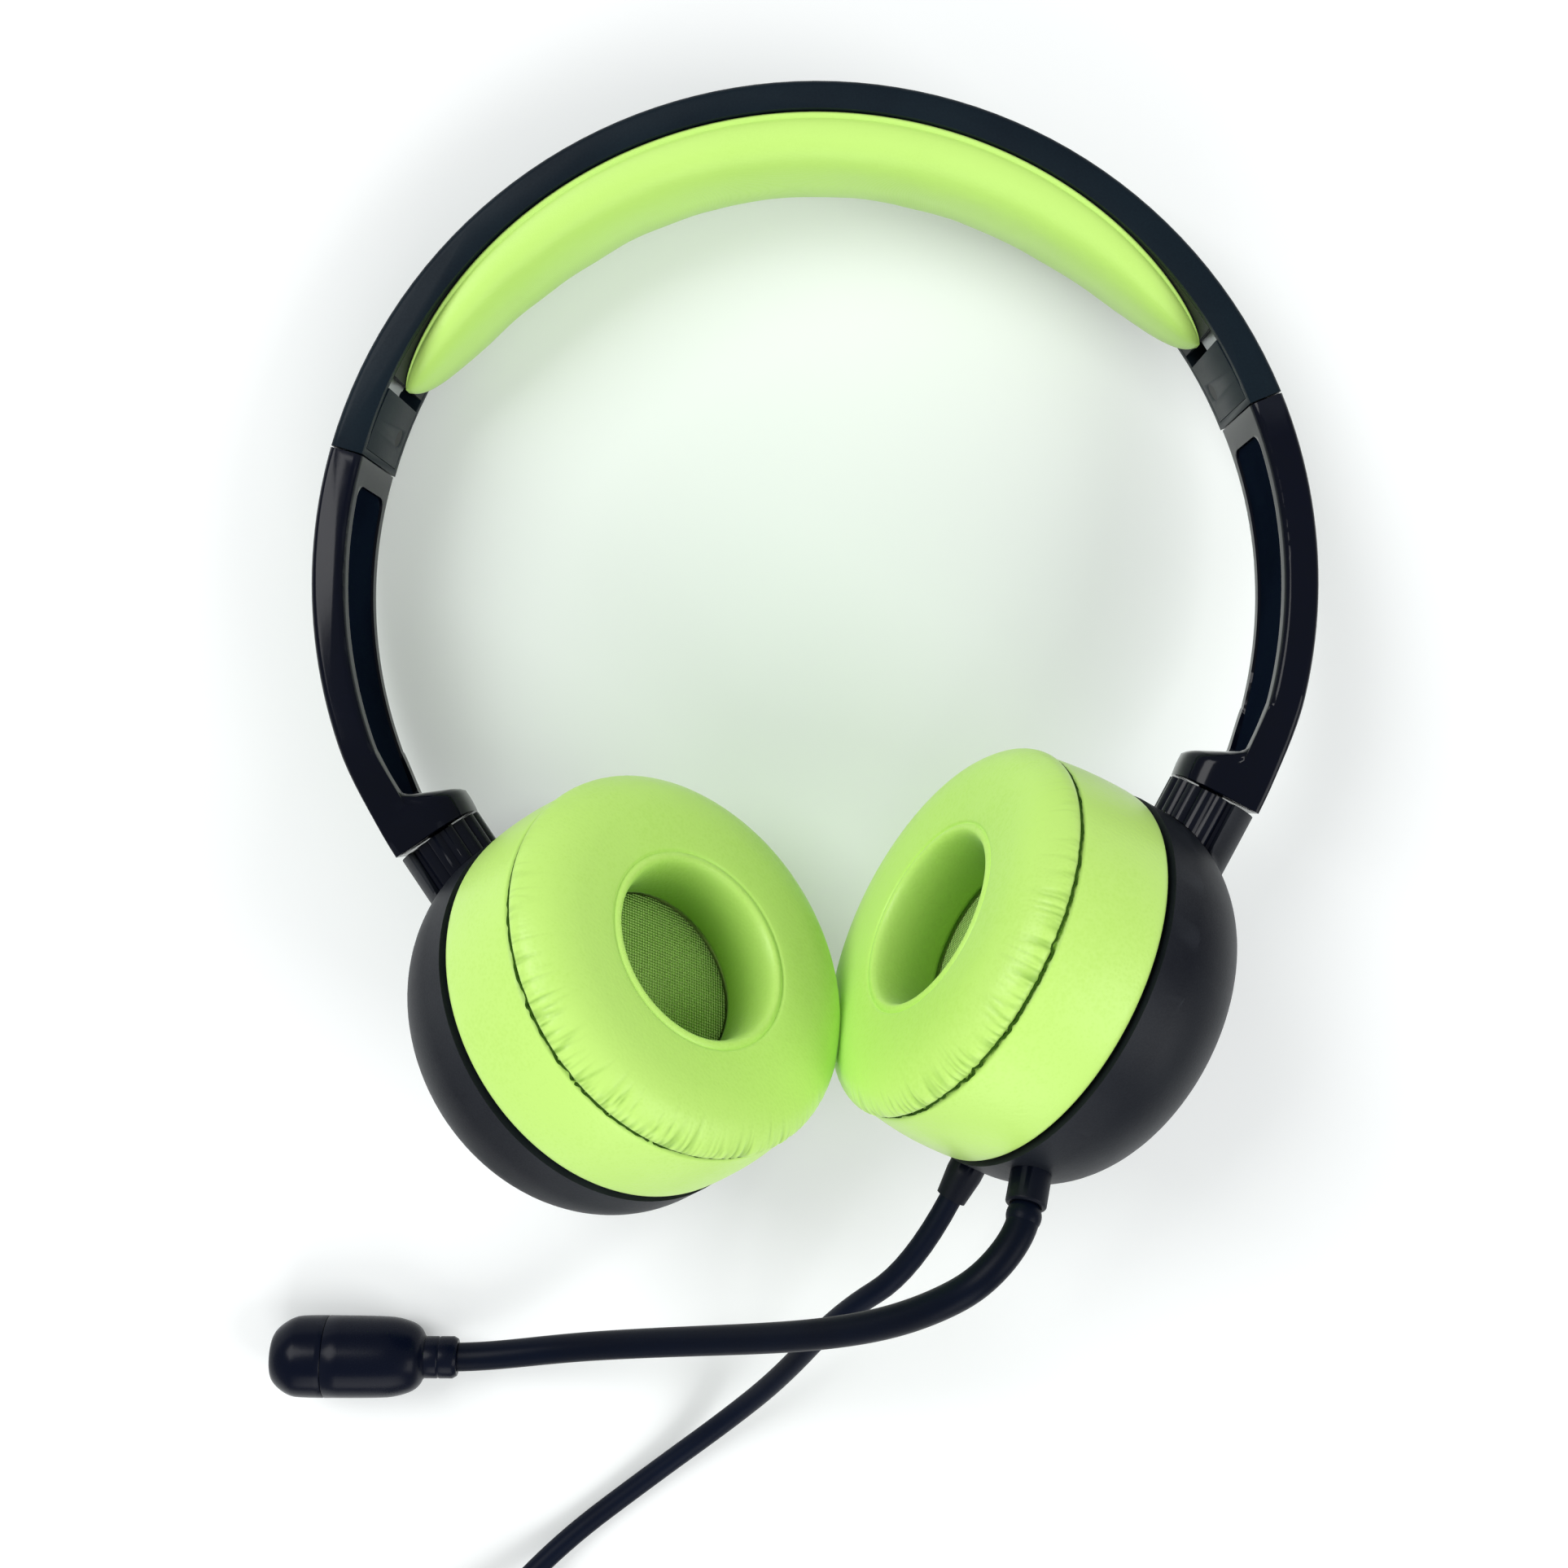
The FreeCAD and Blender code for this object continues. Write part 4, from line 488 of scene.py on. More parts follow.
    def pebbled(self, tree: Tree, fine: Socket) -> Socket:
        """The height of leatherette: small soft cells, crumpled.

        Args:
            tree: the relief's tree.
            fine: the place, scaled to the relief.

        Returns:
            The height.
        """
        cells = tree.nodes.new("ShaderNodeTexVoronoi")
        cells.feature = "SMOOTH_F1"
        cells.inputs["Smoothness"].default_value = 0.7
        cells.inputs["Scale"].default_value = 1.0
        tree.links.new(fine, cells.inputs["Vector"])
        crumple = self.math(tree, "MULTIPLY", self.noisy(tree, fine, 0.35, 4.0), self.crumple_share)
        return self.math(tree, "ADD", cells.outputs["Distance"], crumple)

    def woven(self, tree: Tree, fine: Socket, surface: Surface) -> Socket:
        """The height of a plain weave, or of satin's fine ribs.

        Args:
            tree: the relief's tree.
            fine: the place, scaled to the relief.
            surface: WEAVE or SATIN.

        Returns:
            The height.
        """
        split = tree.nodes.new("ShaderNodeSeparateXYZ")
        tree.links.new(fine, split.inputs[0])
        over, under = (
            self.math(tree, "SINE", self.math(tree, "MULTIPLY", split.outputs[name], FULL_TURN))
            for name in ("X", "Y")
        )
        if surface is Surface.WEAVE:
            crossed = self.math(tree, "MULTIPLY", over, under)
            return self.math(tree, "ADD", crossed, self.noisy(tree, fine, 1.4, 2.0))
        ribs = self.math(tree, "MULTIPLY", self.math(tree, "ABSOLUTE", under), self.rib_share)
        return self.math(tree, "ADD", ribs, self.noisy(tree, fine, 0.8, 3.0))

    def rubbed(self) -> Tree:
        """The shared group for rubbed edges: Vector and Amount in, Mask out.

        Returns:
            The group, made once.
        """
        if "edge_wear" in self.groups:
            return self.groups["edge_wear"]
        tree = self.group("edge_wear", [("Vector", "Vector"), ("Amount", "Float")], ["Mask"])
        start, stop = tree.nodes["in"], tree.nodes["out"]
        shape = tree.nodes.new("ShaderNodeNewGeometry")
        edge = self.ranged(tree, shape.outputs["Pointiness"], self.rub_edge)
        patchy = self.noisy(tree, start.outputs["Vector"], self.rub_scale, 4.0)
        mask = self.math(tree, "MULTIPLY", edge, patchy)
        tree.links.new(self.math(tree, "MULTIPLY", mask, start.outputs["Amount"]), stop.inputs["Mask"])
        return tree

    def placed(self, tree: Tree, group: Tree, **values: Value) -> bpy.types.Node:
        """Places a group in a material, with its inputs set or linked.

        Args:
            tree: the material's tree.
            group: the group.
            values: the inputs by name, with _ for a space.

        Returns:
            The group's node.
        """
        node = tree.nodes.new("ShaderNodeGroup")
        node.node_tree = group
        for key, value in values.items():
            self.feed(tree, value, node.inputs[key.replace("_", " ")])
        return node

    @staticmethod
    def where(tree: Tree, place: Optional[Matrix]) -> Socket:
        """The place that a pattern is read at.

        Args:
            tree: the material's tree.
            place: a frame in millimetres that the pattern is centred in and turned to, or None for
                the row frame.

        Returns:
            The place, in metres of that frame.
        """
        spot = tree.nodes.new("ShaderNodeTexCoord").outputs["Object"]
        if place is None:
            return spot
        turned = tree.nodes.new("ShaderNodeMapping")
        turned.vector_type = "TEXTURE"
        turned.inputs["Location"].default_value = place.translation * MM
        turned.inputs["Rotation"].default_value = place.to_euler()
        tree.links.new(spot, turned.inputs["Vector"])
        return turned.outputs[0]

    def material(self, name: str, place: Optional[Matrix] = None, key: str = "") -> bpy.types.Material:
        """The material of a finish.

        Args:
            name: the finish's name.
            place: the frame of the pattern in millimetres, or None for the row frame.
            key: what tells the material of this place from that of another.

        Returns:
            The material, made once for each name and key.
        """
        if (name, key) in self.made:
            return self.made[(name, key)]
        finish = FINISHES[name]
        made = bpy.data.materials.new(f"{name}_{key}" if key else name)
        made.use_nodes = True
        self.dress(made.node_tree, finish, place)
        self.made[(name, key)] = made
        return made

    def dress(self, tree: Tree, finish: Finish, place: Optional[Matrix]) -> None:
        """Fills a material's tree.

        Args:
            tree: the tree, with its shader in it.
            finish: the finish.
            place: the frame of the pattern in millimetres, or None for the row frame.
        """
        shader = tree.nodes["Principled BSDF"]
        shader.inputs["Metallic"].default_value = finish.metallic
        shader.inputs["Sheen Weight"].default_value = finish.sheen
        shader.inputs["Sheen Roughness"].default_value = self.sheen_roughness
        shader.inputs["Specular IOR Level"].default_value = finish.gloss
        spot = self.where(tree, place)
        relief = self.placed(tree, self.relief(finish.surface), Vector=spot, Per_Metre=1 / (finish.size * MM))
        tone = relief.outputs["Tone"]
        colour = self.mixed(tree, self.ranged(tree, tone, self.tone_span), finish.second, finish.colour)
        # Painted shade: the mesh's shade attribute darkens the colour toward the finish's shade colour
        if finish.deep:
            shade_mark = tree.nodes.new("ShaderNodeAttribute")
            shade_mark.attribute_name = "shade"
            colour = self.mixed(tree, shade_mark.outputs["Fac"], colour, finish.deep)
        if finish.wear:
            worn = self.placed(tree, self.rubbed(), Vector=spot, Amount=finish.wear)
            colour = self.mixed(tree, worn.outputs["Mask"], colour, WORN)
        tree.links.new(colour, shader.inputs["Base Color"])
        ends = (finish.roughness + finish.spread, finish.roughness - finish.spread)
        tree.links.new(self.ranged(tree, tone, self.gloss_span, ends), shader.inputs["Roughness"])
        bump = tree.nodes.new("ShaderNodeBump")
        bump.inputs["Strength"].default_value = 1.0
        bump.inputs["Distance"].default_value = finish.depth * MM
        tree.links.new(relief.outputs["Height"], bump.inputs["Height"])
        tree.links.new(bump.outputs[0], shader.inputs["Normal"])


SHADING = Shading()


def nurbs(
    name: str, points: Sequence[Sequence[float]], closed: bool = False, order: int = 3, steps: int = 6
) -> bpy.types.Curve:
    """A curve with one NURBS line.

    Args:
        name: the curve's name.
        points: the control points.
        closed: whether the line closes on itself.
        order: the spline's order.
        steps: points made for each control point.

    Returns:
        The curve.
    """
    curve = bpy.data.curves.new(name, "CURVE")
    curve.dimensions = "3D"
    spline = curve.splines.new("NURBS")
    spline.points.add(len(points) - 1)
    for knot, point in zip(spline.points, points):
        knot.co = (*point, 1)
    spline.order_u = order
    spline.use_cyclic_u = closed
    spline.use_endpoint_u = not closed
    spline.resolution_u = steps
    return curve


def meshed(curve: bpy.types.Curve) -> bpy.types.Mesh:
    """The mesh of a curve.

    Args:
        curve: the curve, which is removed.

    Returns:
        The mesh.
    """
    holder = bpy.data.objects.new(curve.name, curve)
    mesh = bpy.data.meshes.new_from_object(holder)
    bpy.data.objects.remove(holder)
    bpy.data.curves.remove(curve)
    return mesh


def smooth_line(corners: Sequence[Corner], closed: bool = False, steps: int = 6) -> list[Vector]:
    """Points along the NURBS line of some corners of a profile.

    Args:
        corners: distances across and heights.
        closed: whether the line closes on itself.
        steps: points made for each corner.

    Returns:
        The points in order in the XZ plane, without a repeated end.
    """
    mesh = meshed(nurbs("line", [(across, 0, height) for across, height in corners], closed, steps=steps))
    found = [vertex.co.copy() for vertex in mesh.vertices]
    bpy.data.meshes.remove(mesh)
    return found


class Shape:
    """A mesh in millimetres of its own frame, shaped with bmesh operators and then placed.

    Its methods that shape it return the shape itself.
    """

    def __init__(self, mesh: Optional[bpy.types.Mesh] = None) -> None:
        """Starts empty, or from a mesh.

        Args:
            mesh: the mesh to start from.
        """
        self.mesh = bmesh.new()
        if mesh:
            self.mesh.from_mesh(mesh)

    def line(self, points: Sequence[Vector], closed: bool = False) -> "Shape":
        """Adds a line of edges.

        Args:
            points: the points that it runs through.
            closed: whether it closes on itself.

        Returns:
            The shape itself.
        """
        made = [self.mesh.verts.new(point) for point in points]
        for first, second in zip(made, made[1:]):
            self.mesh.edges.new((first, second))
        if closed:
            self.mesh.edges.new((made[-1], made[0]))
        return self

    def spin(self, steps: int, axis: Sequence[float] = UP, angle: float = FULL_TURN) -> "Shape":
        """Spins all that there is round an axis through the origin.

        Args:
            steps: faces along the turn.
            axis: the axis.
            angle: the turn in radians. After a full turn the poles and the seam are welded.

        Returns:
            The shape itself.
        """
        everything = self.mesh.verts[:] + self.mesh.edges[:]
        whole = angle >= FULL_TURN
        bmesh.ops.spin(
            self.mesh, geom=everything, cent=(0, 0, 0), axis=axis, angle=angle, steps=steps, use_merge=whole
        )
        return self.weld() if whole else self

    def weld(self, distance: float = NEAR) -> "Shape":
        """Merges doubles and turns all faces outwards.

        Args:
            distance: how near to each other doubles are.

        Returns:
            The shape itself.
        """
        bmesh.ops.remove_doubles(self.mesh, verts=self.mesh.verts, dist=distance)
        bmesh.ops.recalc_face_normals(self.mesh, faces=self.mesh.faces)
        return self

    def close(self) -> "Shape":
        """Fills every open rim.

        Returns:
            The shape itself.
        """
        rim = [edge for edge in self.mesh.edges if edge.is_boundary]
        bmesh.ops.holes_fill(self.mesh, edges=rim, sides=0)
        bmesh.ops.recalc_face_normals(self.mesh, faces=self.mesh.faces)
        return self

    def bevel(self, width: float, angle: float = 32) -> "Shape":
        """Bevels every sharp edge with two faces.

        Args:
            width: the bevel's width.
            angle: the least angle of a sharp edge, in degrees.

        Returns:
            The shape itself.
        """
        limit = math.radians(angle)
        sharp = [edge for edge in self.mesh.edges if edge.is_manifold and edge.calc_face_angle(0) > limit]
        bmesh.ops.bevel(
            self.mesh,
            geom=sharp,
            offset=width,
            offset_type="OFFSET",
            segments=2,
            profile=0.5,
            affect="EDGES",
            clamp_overlap=True,
            material=-1,
        )
        return self

    def placed(self, place: Matrix) -> "Shape":
        """Moves, turns and scales the whole shape."""
        bmesh.ops.transform(self.mesh, matrix=place, verts=self.mesh.verts)
        return self

    def moved(self, rule: Callable[[Vector], Vector]) -> "Shape":
        """Moves every vertex.

        Args:
            rule: gives the new place of a place.

        Returns:
            The shape itself.
        """
        for vertex in self.mesh.verts:
            vertex.co = rule(vertex.co.copy())
        return self

    def marked(self, rule: Callable[[Vector], float]) -> "Shape":
        """Marks how much painted shade every vertex gets, in its shade attribute.

        Args:
            rule: gives the painted shade of a place, from 0 to 1.

        Returns:
            The shape itself.
        """
        marks = self.mesh.verts.layers.float.new("shade")
        for vertex in self.mesh.verts:
            vertex[marks] = rule(vertex.co)
        return self

    def sliced(self, place: Sequence[float], normal: Sequence[float]) -> "Shape":
        """Cuts new edges into every face that a plane crosses.

        Args:
            place: a point of the plane.
            normal: the way that it faces.

        Returns:
            The shape itself.
        """
        everything = self.mesh.verts[:] + self.mesh.edges[:] + self.mesh.faces[:]
        bmesh.ops.bisect_plane(self.mesh, geom=everything, dist=NEAR, plane_co=place, plane_no=normal)
        return self

    def join(self, other: "Shape") -> "Shape":
        """Adds another shape's mesh to this one.

        Args:
            other: the other shape, which is used up.

        Returns:
            The shape itself.
        """
        held = bpy.data.meshes.new("held")
        other.mesh.to_mesh(held)
        self.mesh.from_mesh(held)
        bpy.data.meshes.remove(held)
        other.mesh.free()
        return self


def tube(
    points: Sequence[Sequence[float]],
    radius: float,
    closed: bool = False,
    order: int = 3,
    steps: int = 2,
    sides: int = 1,
) -> Shape:
    """A round tube along the NURBS line of some control points.

    Args:
        points: the control points.
        radius: the tube's radius.
        closed: whether the line closes on itself.
        order: the spline's order.
        steps: rings made for each control point.
        sides: how fine the tube's round is.

    Returns:
        The shape.
    """
    curve = nurbs("tube", points, closed, order, steps)
    curve.bevel_depth = radius
    curve.bevel_resolution = sides
    curve.use_fill_caps = not closed
    mesh = meshed(curve)
    shape = Shape(mesh)
    bpy.data.meshes.remove(mesh)
    return shape.weld()


def turned(profile: Sequence[Corner], steps: int = 96, bevel: float = 0.0) -> Shape:
    """A round solid about Z.

    Args:
        profile: corners of radius and height, from the axis to the axis, or else a closed line.
        steps: faces round the axis.
        bevel: width of the bevel on sharp corners.

    Returns:
        The shape.
    """
    corners = [Vector((radius, 0, height)) for radius, height in profile]
    shape = Shape().line(corners, closed=profile[0][0] > 0).spin(steps)
    return shape.bevel(bevel) if bevel else shape


@dataclass(frozen=True)
class Job:
    """What a finished piece is: its name, finish, body, the nodes it stands for and its frame.

    With a key its pattern is centred in that frame. sharp is the angle of a hard edge in degrees.
    """

    name: str
    finish: str
    body: str
    nodes: tuple[str, ...] = ()
    place: Optional[Matrix] = None
    key: str = ""
    sharp: float = 38.0


def finished(shape: Shape, job: Job) -> bpy.types.Object:
    """Makes a shape a piece of the object: placed, smooth, dressed and riding on its body.

    Args:
        shape: the shape, in millimetres of the job's frame.
        job: what the piece is.

    Returns:
        The new object.
    """
    scale = Matrix.Scale(MM, 4)
    shape.placed(scale @ job.place if job.place is not None else scale)
    mesh = bpy.data.meshes.new(job.name)
    shape.mesh.to_mesh(mesh)
    shape.mesh.free()
    mesh.polygons.foreach_set("use_smooth", [True] * len(mesh.polygons))
    mesh.set_sharp_from_angle(angle=math.radians(job.sharp))
    piece = bpy.data.objects.new(job.name, mesh)
    bpy.context.scene.collection.objects.link(piece)
    return ridden(piece, job)


def ridden(piece: bpy.types.Object, job: Job) -> bpy.types.Object:
    """Dresses a linked piece and hangs it on its body.

    Args:
        piece: the object.
        job: what the piece is.

    Returns:
        The same object.
    """
    piece.data.materials.clear()
    piece.data.materials.append(SHADING.material(job.finish, job.place if job.key else None, job.key))
    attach(piece, job.body)
    if job.nodes:
        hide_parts(*job.nodes)
    log.info("%s rides on %s", job.name, job.body)
    return piece


@dataclass(frozen=True)
class Lamp:
    """A square lamp that faces the object, with its place and size in metres and power in watts."""

    name: str
    place: Place
    power: float
    size: float = 0.60

    def build(self) -> None:
        """Makes the lamp."""
        light = bpy.data.lights.new(self.name, "AREA")
        light.shape = "SQUARE"
        light.size = self.size
        light.energy = self.power
        lamp = bpy.data.objects.new(self.name, light)
        lamp.location = self.place
        lamp.rotation_euler = Vector(self.place).to_track_quat("Z", "Y").to_euler()
        bpy.context.scene.collection.objects.link(lamp)


@dataclass
class Studio:
    """Floor, lights, sky and camera.

    eye is in millimetres of the row frame. The floor has painted shade and painted green bounce
    light near shade_middle, fading out to shade_reach, both in metres.
    """

    lens: float = 41.12
    eye: Place = (-5.54, 28.42, 319.71)
    view: Place = (0.03405, -0.10395, -0.99400)
    up: Place = (0.05789, 0.99311, -0.10188)
    clip: Span = (0.01, 20)
    sky: float = 0.36
    lamps: tuple[Lamp, ...] = (
        Lamp("key", (-0.58, 0.52, 0.84), 7.4),
        Lamp("fill", (0.78, -0.38, 0.74), 4.1),
        Lamp("front", (-0.10, -0.86, 0.56), 2.9),
    )
    floor_half: float = 2.5
    floor_glow: float = 0.22
    glow_colour: Colour = (0.97, 1.0, 1.0)
    # The first colour is painted shade with painted green bounce light near the middle; the second is the
    # floor's own pale colour
    floor_near: Colour = (0.62, 0.70, 0.63)
    floor_far: Colour = (0.84, 0.86, 0.86)
    shade_middle: Place = (0.004, 0.020, 0.0)
    shade_reach: float = 0.115

    def build(self) -> None:
        """Sets up all that isn't part of the object."""
        bpy.context.scene.view_settings.view_transform = "Standard"
        self.floor()
        self.sky_light()
        for lamp in self.lamps:
            lamp.build()
        self.camera()

    def floor(self) -> None:
        """A pale floor that keeps shadows and shows near white, with painted shade and green bounce light
        round the headset's middle.
        """
        mesh = bmesh.new()
        bmesh.ops.create_grid(mesh, x_segments=1, y_segments=1, size=self.floor_half)
        flat = bpy.data.meshes.new("floor")
        mesh.to_mesh(flat)
        mesh.free()
        plane = bpy.data.objects.new("floor", flat)
        bpy.context.scene.collection.objects.link(plane)
        made = bpy.data.materials.new("floor")
        made.use_nodes = True
        tree = made.node_tree
        shader = tree.nodes["Principled BSDF"]
        # Painted shade, tinted green as by light bounced off the cushions, fading to the plain pale floor
        # further out
        away = tree.nodes.new("ShaderNodeVectorMath")
        away.operation = "DISTANCE"
        away.inputs[1].default_value = self.shade_middle
        tree.links.new(Shading.where(tree, None), away.inputs[0])
        share = Shading.ranged(tree, away.outputs["Value"], (0, self.shade_reach))
        share.node.interpolation_type = "SMOOTHSTEP"
        floor_shade_tint = Shading.mixed(tree, share, self.floor_near, self.floor_far)
        tree.links.new(floor_shade_tint, shader.inputs["Base Color"])
        shader.inputs["Roughness"].default_value = 0.9
        shader.inputs["Specular IOR Level"].default_value = 0.1
        shader.inputs["Emission Color"].default_value = (*self.glow_colour, 1)
        rays = self.seen(tree, "Camera", "Glossy", "Transmission")
        glow = Shading.math(tree, "MULTIPLY", rays, self.floor_glow)
        tree.links.new(glow, shader.inputs["Emission Strength"])
        flat.materials.append(made)

    @staticmethod
    def seen(tree: Tree, *rays: str) -> Socket:
        """A mask of what some kinds of ray see.

        Args:
            tree: the tree.
            rays: the kinds, as Light Path names them.

        Returns:
            1 for these rays and 0 for all others.
        """
        path = tree.nodes.new("ShaderNodeLightPath")
        mask = path.outputs[f"Is {rays[0]} Ray"]
        for ray in rays[1:]:
            mask = Shading.math(tree, "MAXIMUM", mask, path.outputs[f"Is {ray} Ray"])
        return mask

    def sky_light(self) -> None:
        """A pale sky: white to the camera, softer as a light."""
        world = bpy.data.worlds.new("sky")
        bpy.context.scene.world = world
        world.use_nodes = True
        tree = world.node_tree
        sky = tree.nodes["Background"]
        sky.inputs["Color"].default_value = (1, 1, 1, 1)
        extra = Shading.math(tree, "MULTIPLY", self.seen(tree, "Camera", "Transmission"), 1 - self.sky)
        tree.links.new(Shading.math(tree, "ADD", extra, self.sky), sky.inputs["Strength"])

    def camera(self) -> None:
        """The camera at the photograph's viewing angle."""
        lens = bpy.data.cameras.new("camera")
        lens.lens = self.lens
        lens.sensor_width = 36
        lens.clip_start, lens.clip_end = self.clip
        eye = bpy.data.objects.new("camera", lens)
        back = -Vector(self.view).normalized()
        right = Vector(self.up).cross(back).normalized()
        eye.matrix_world = axes(Vector(self.eye) * MM, right, back.cross(right), back)
        bpy.context.scene.collection.objects.link(eye)
        bpy.context.scene.camera = eye


@dataclass
class Cable:
    """The cable with the put-away coil at its far end, one cord.

    real_length is in metres, layer_change in turns. The coil winds inwards in one layer, climbs
    down within layer_change on each side of its middle and winds outwards in the other.
    """

    radius: float = 1.9
    real_length: float = 1.5
    boot_length: float = 6.4
    straight: float = 13.5
    inlet_straight: float = 20.0
    coil_centre: Place = (-55.33, -195.4, 0.0)
    coil_inner: float = 12.2
    coil_pitch: float = 4.35
    coil_layer: float = 4.3
    coil_entry: float = 129.0
    coil_rise: float = 0.7
    layer_turns: float = 4.5
    layer_change: float = 0.25
    steps_per_turn: int = 24
    tail_length: float = 24.0
    plug_radius: float = 3.9
    points: tuple[Place, ...] = (
        (8.87, -92.9, 27.5),
        (-1.13, -109.1, 14.0),
        (-11.03, -120.5, 5.0),
        (-25.83, -131.6, 1.9),
        (-43.93, -143.9, 1.9),
    )
    far_pieces: tuple[str, ...] = ("plug_boot", "plug_body", "jack_contacts", "jack_insulators", "cable_tie")

    def coil_point(self, turn: float) -> Vector:
        """A point of the coil.

        Args:
            turn: how many turns it is from the coil's middle.

        Returns:
            The point, in millimetres of the row frame.
        """
        away, change = abs(turn), self.layer_change
        spread = away - change / 2 if away > change else away**2 / (2 * change)
        radius = self.coil_inner + self.coil_pitch * spread
        lift = 0.5 - 0.5 * math.sin(math.pi * max(-0.5, min(0.5, turn / (2 * change))))
        angle = math.radians(self.coil_entry) + FULL_TURN * (turn + self.layer_turns + change)
        height = self.coil_rise + self.radius + self.coil_layer * lift
        return Vector(self.coil_centre) + Vector((radius * math.cos(angle), radius * math.sin(angle), height))

    def route(self) -> list[Vector]:
        """The way of the whole cord.

        Returns:
            Its control points, in millimetres of the row frame.
        """
        foot = boot_frame(0, self.boot_length)
        out = foot.to_3x3() @ UP
        half = self.layer_turns + self.layer_change
        count = int(2 * half * self.steps_per_turn)
        turns = [-half + number / self.steps_per_turn for number in range(count + 1)]
        coil = [self.coil_point(turn) for turn in turns]
        way_in = (self.coil_point(-half + NEAR) - self.coil_point(-half)).normalized()
        way_out = self.coil_point(half) - self.coil_point(half - NEAR)
        way_out = Vector((way_out.x, way_out.y, 0)).normalized()
        inlet = coil[0] - way_in * 2 * self.radius
        tail = coil[-1] + way_out * (self.tail_length - 2 * self.radius)
        tail = Vector((tail.x, tail.y, self.plug_radius))
        start = [foot.translation, foot.translation + out * self.straight]
        start += [Vector(point) for point in self.points]
        start += [inlet - way_in * self.inlet_straight, inlet]
        return start + coil + [tail, tail + way_out * 2 * self.radius]

    def build(self) -> None:
        route = [point * MM for point in self.route()]
        line = nurbs("cable_cord", route, steps=8)
        line.bevel_depth = self.radius * MM
        line.bevel_resolution = 5
        line.use_fill_caps = True
        line.splines[0].use_smooth = True
        piece = bpy.data.objects.new("cable_cord", line)
        bpy.context.scene.collection.objects.link(piece)
        ridden(piece, Job("cable_cord", "cable_rubber", "right_cup", ("cable", "cable_coil")))


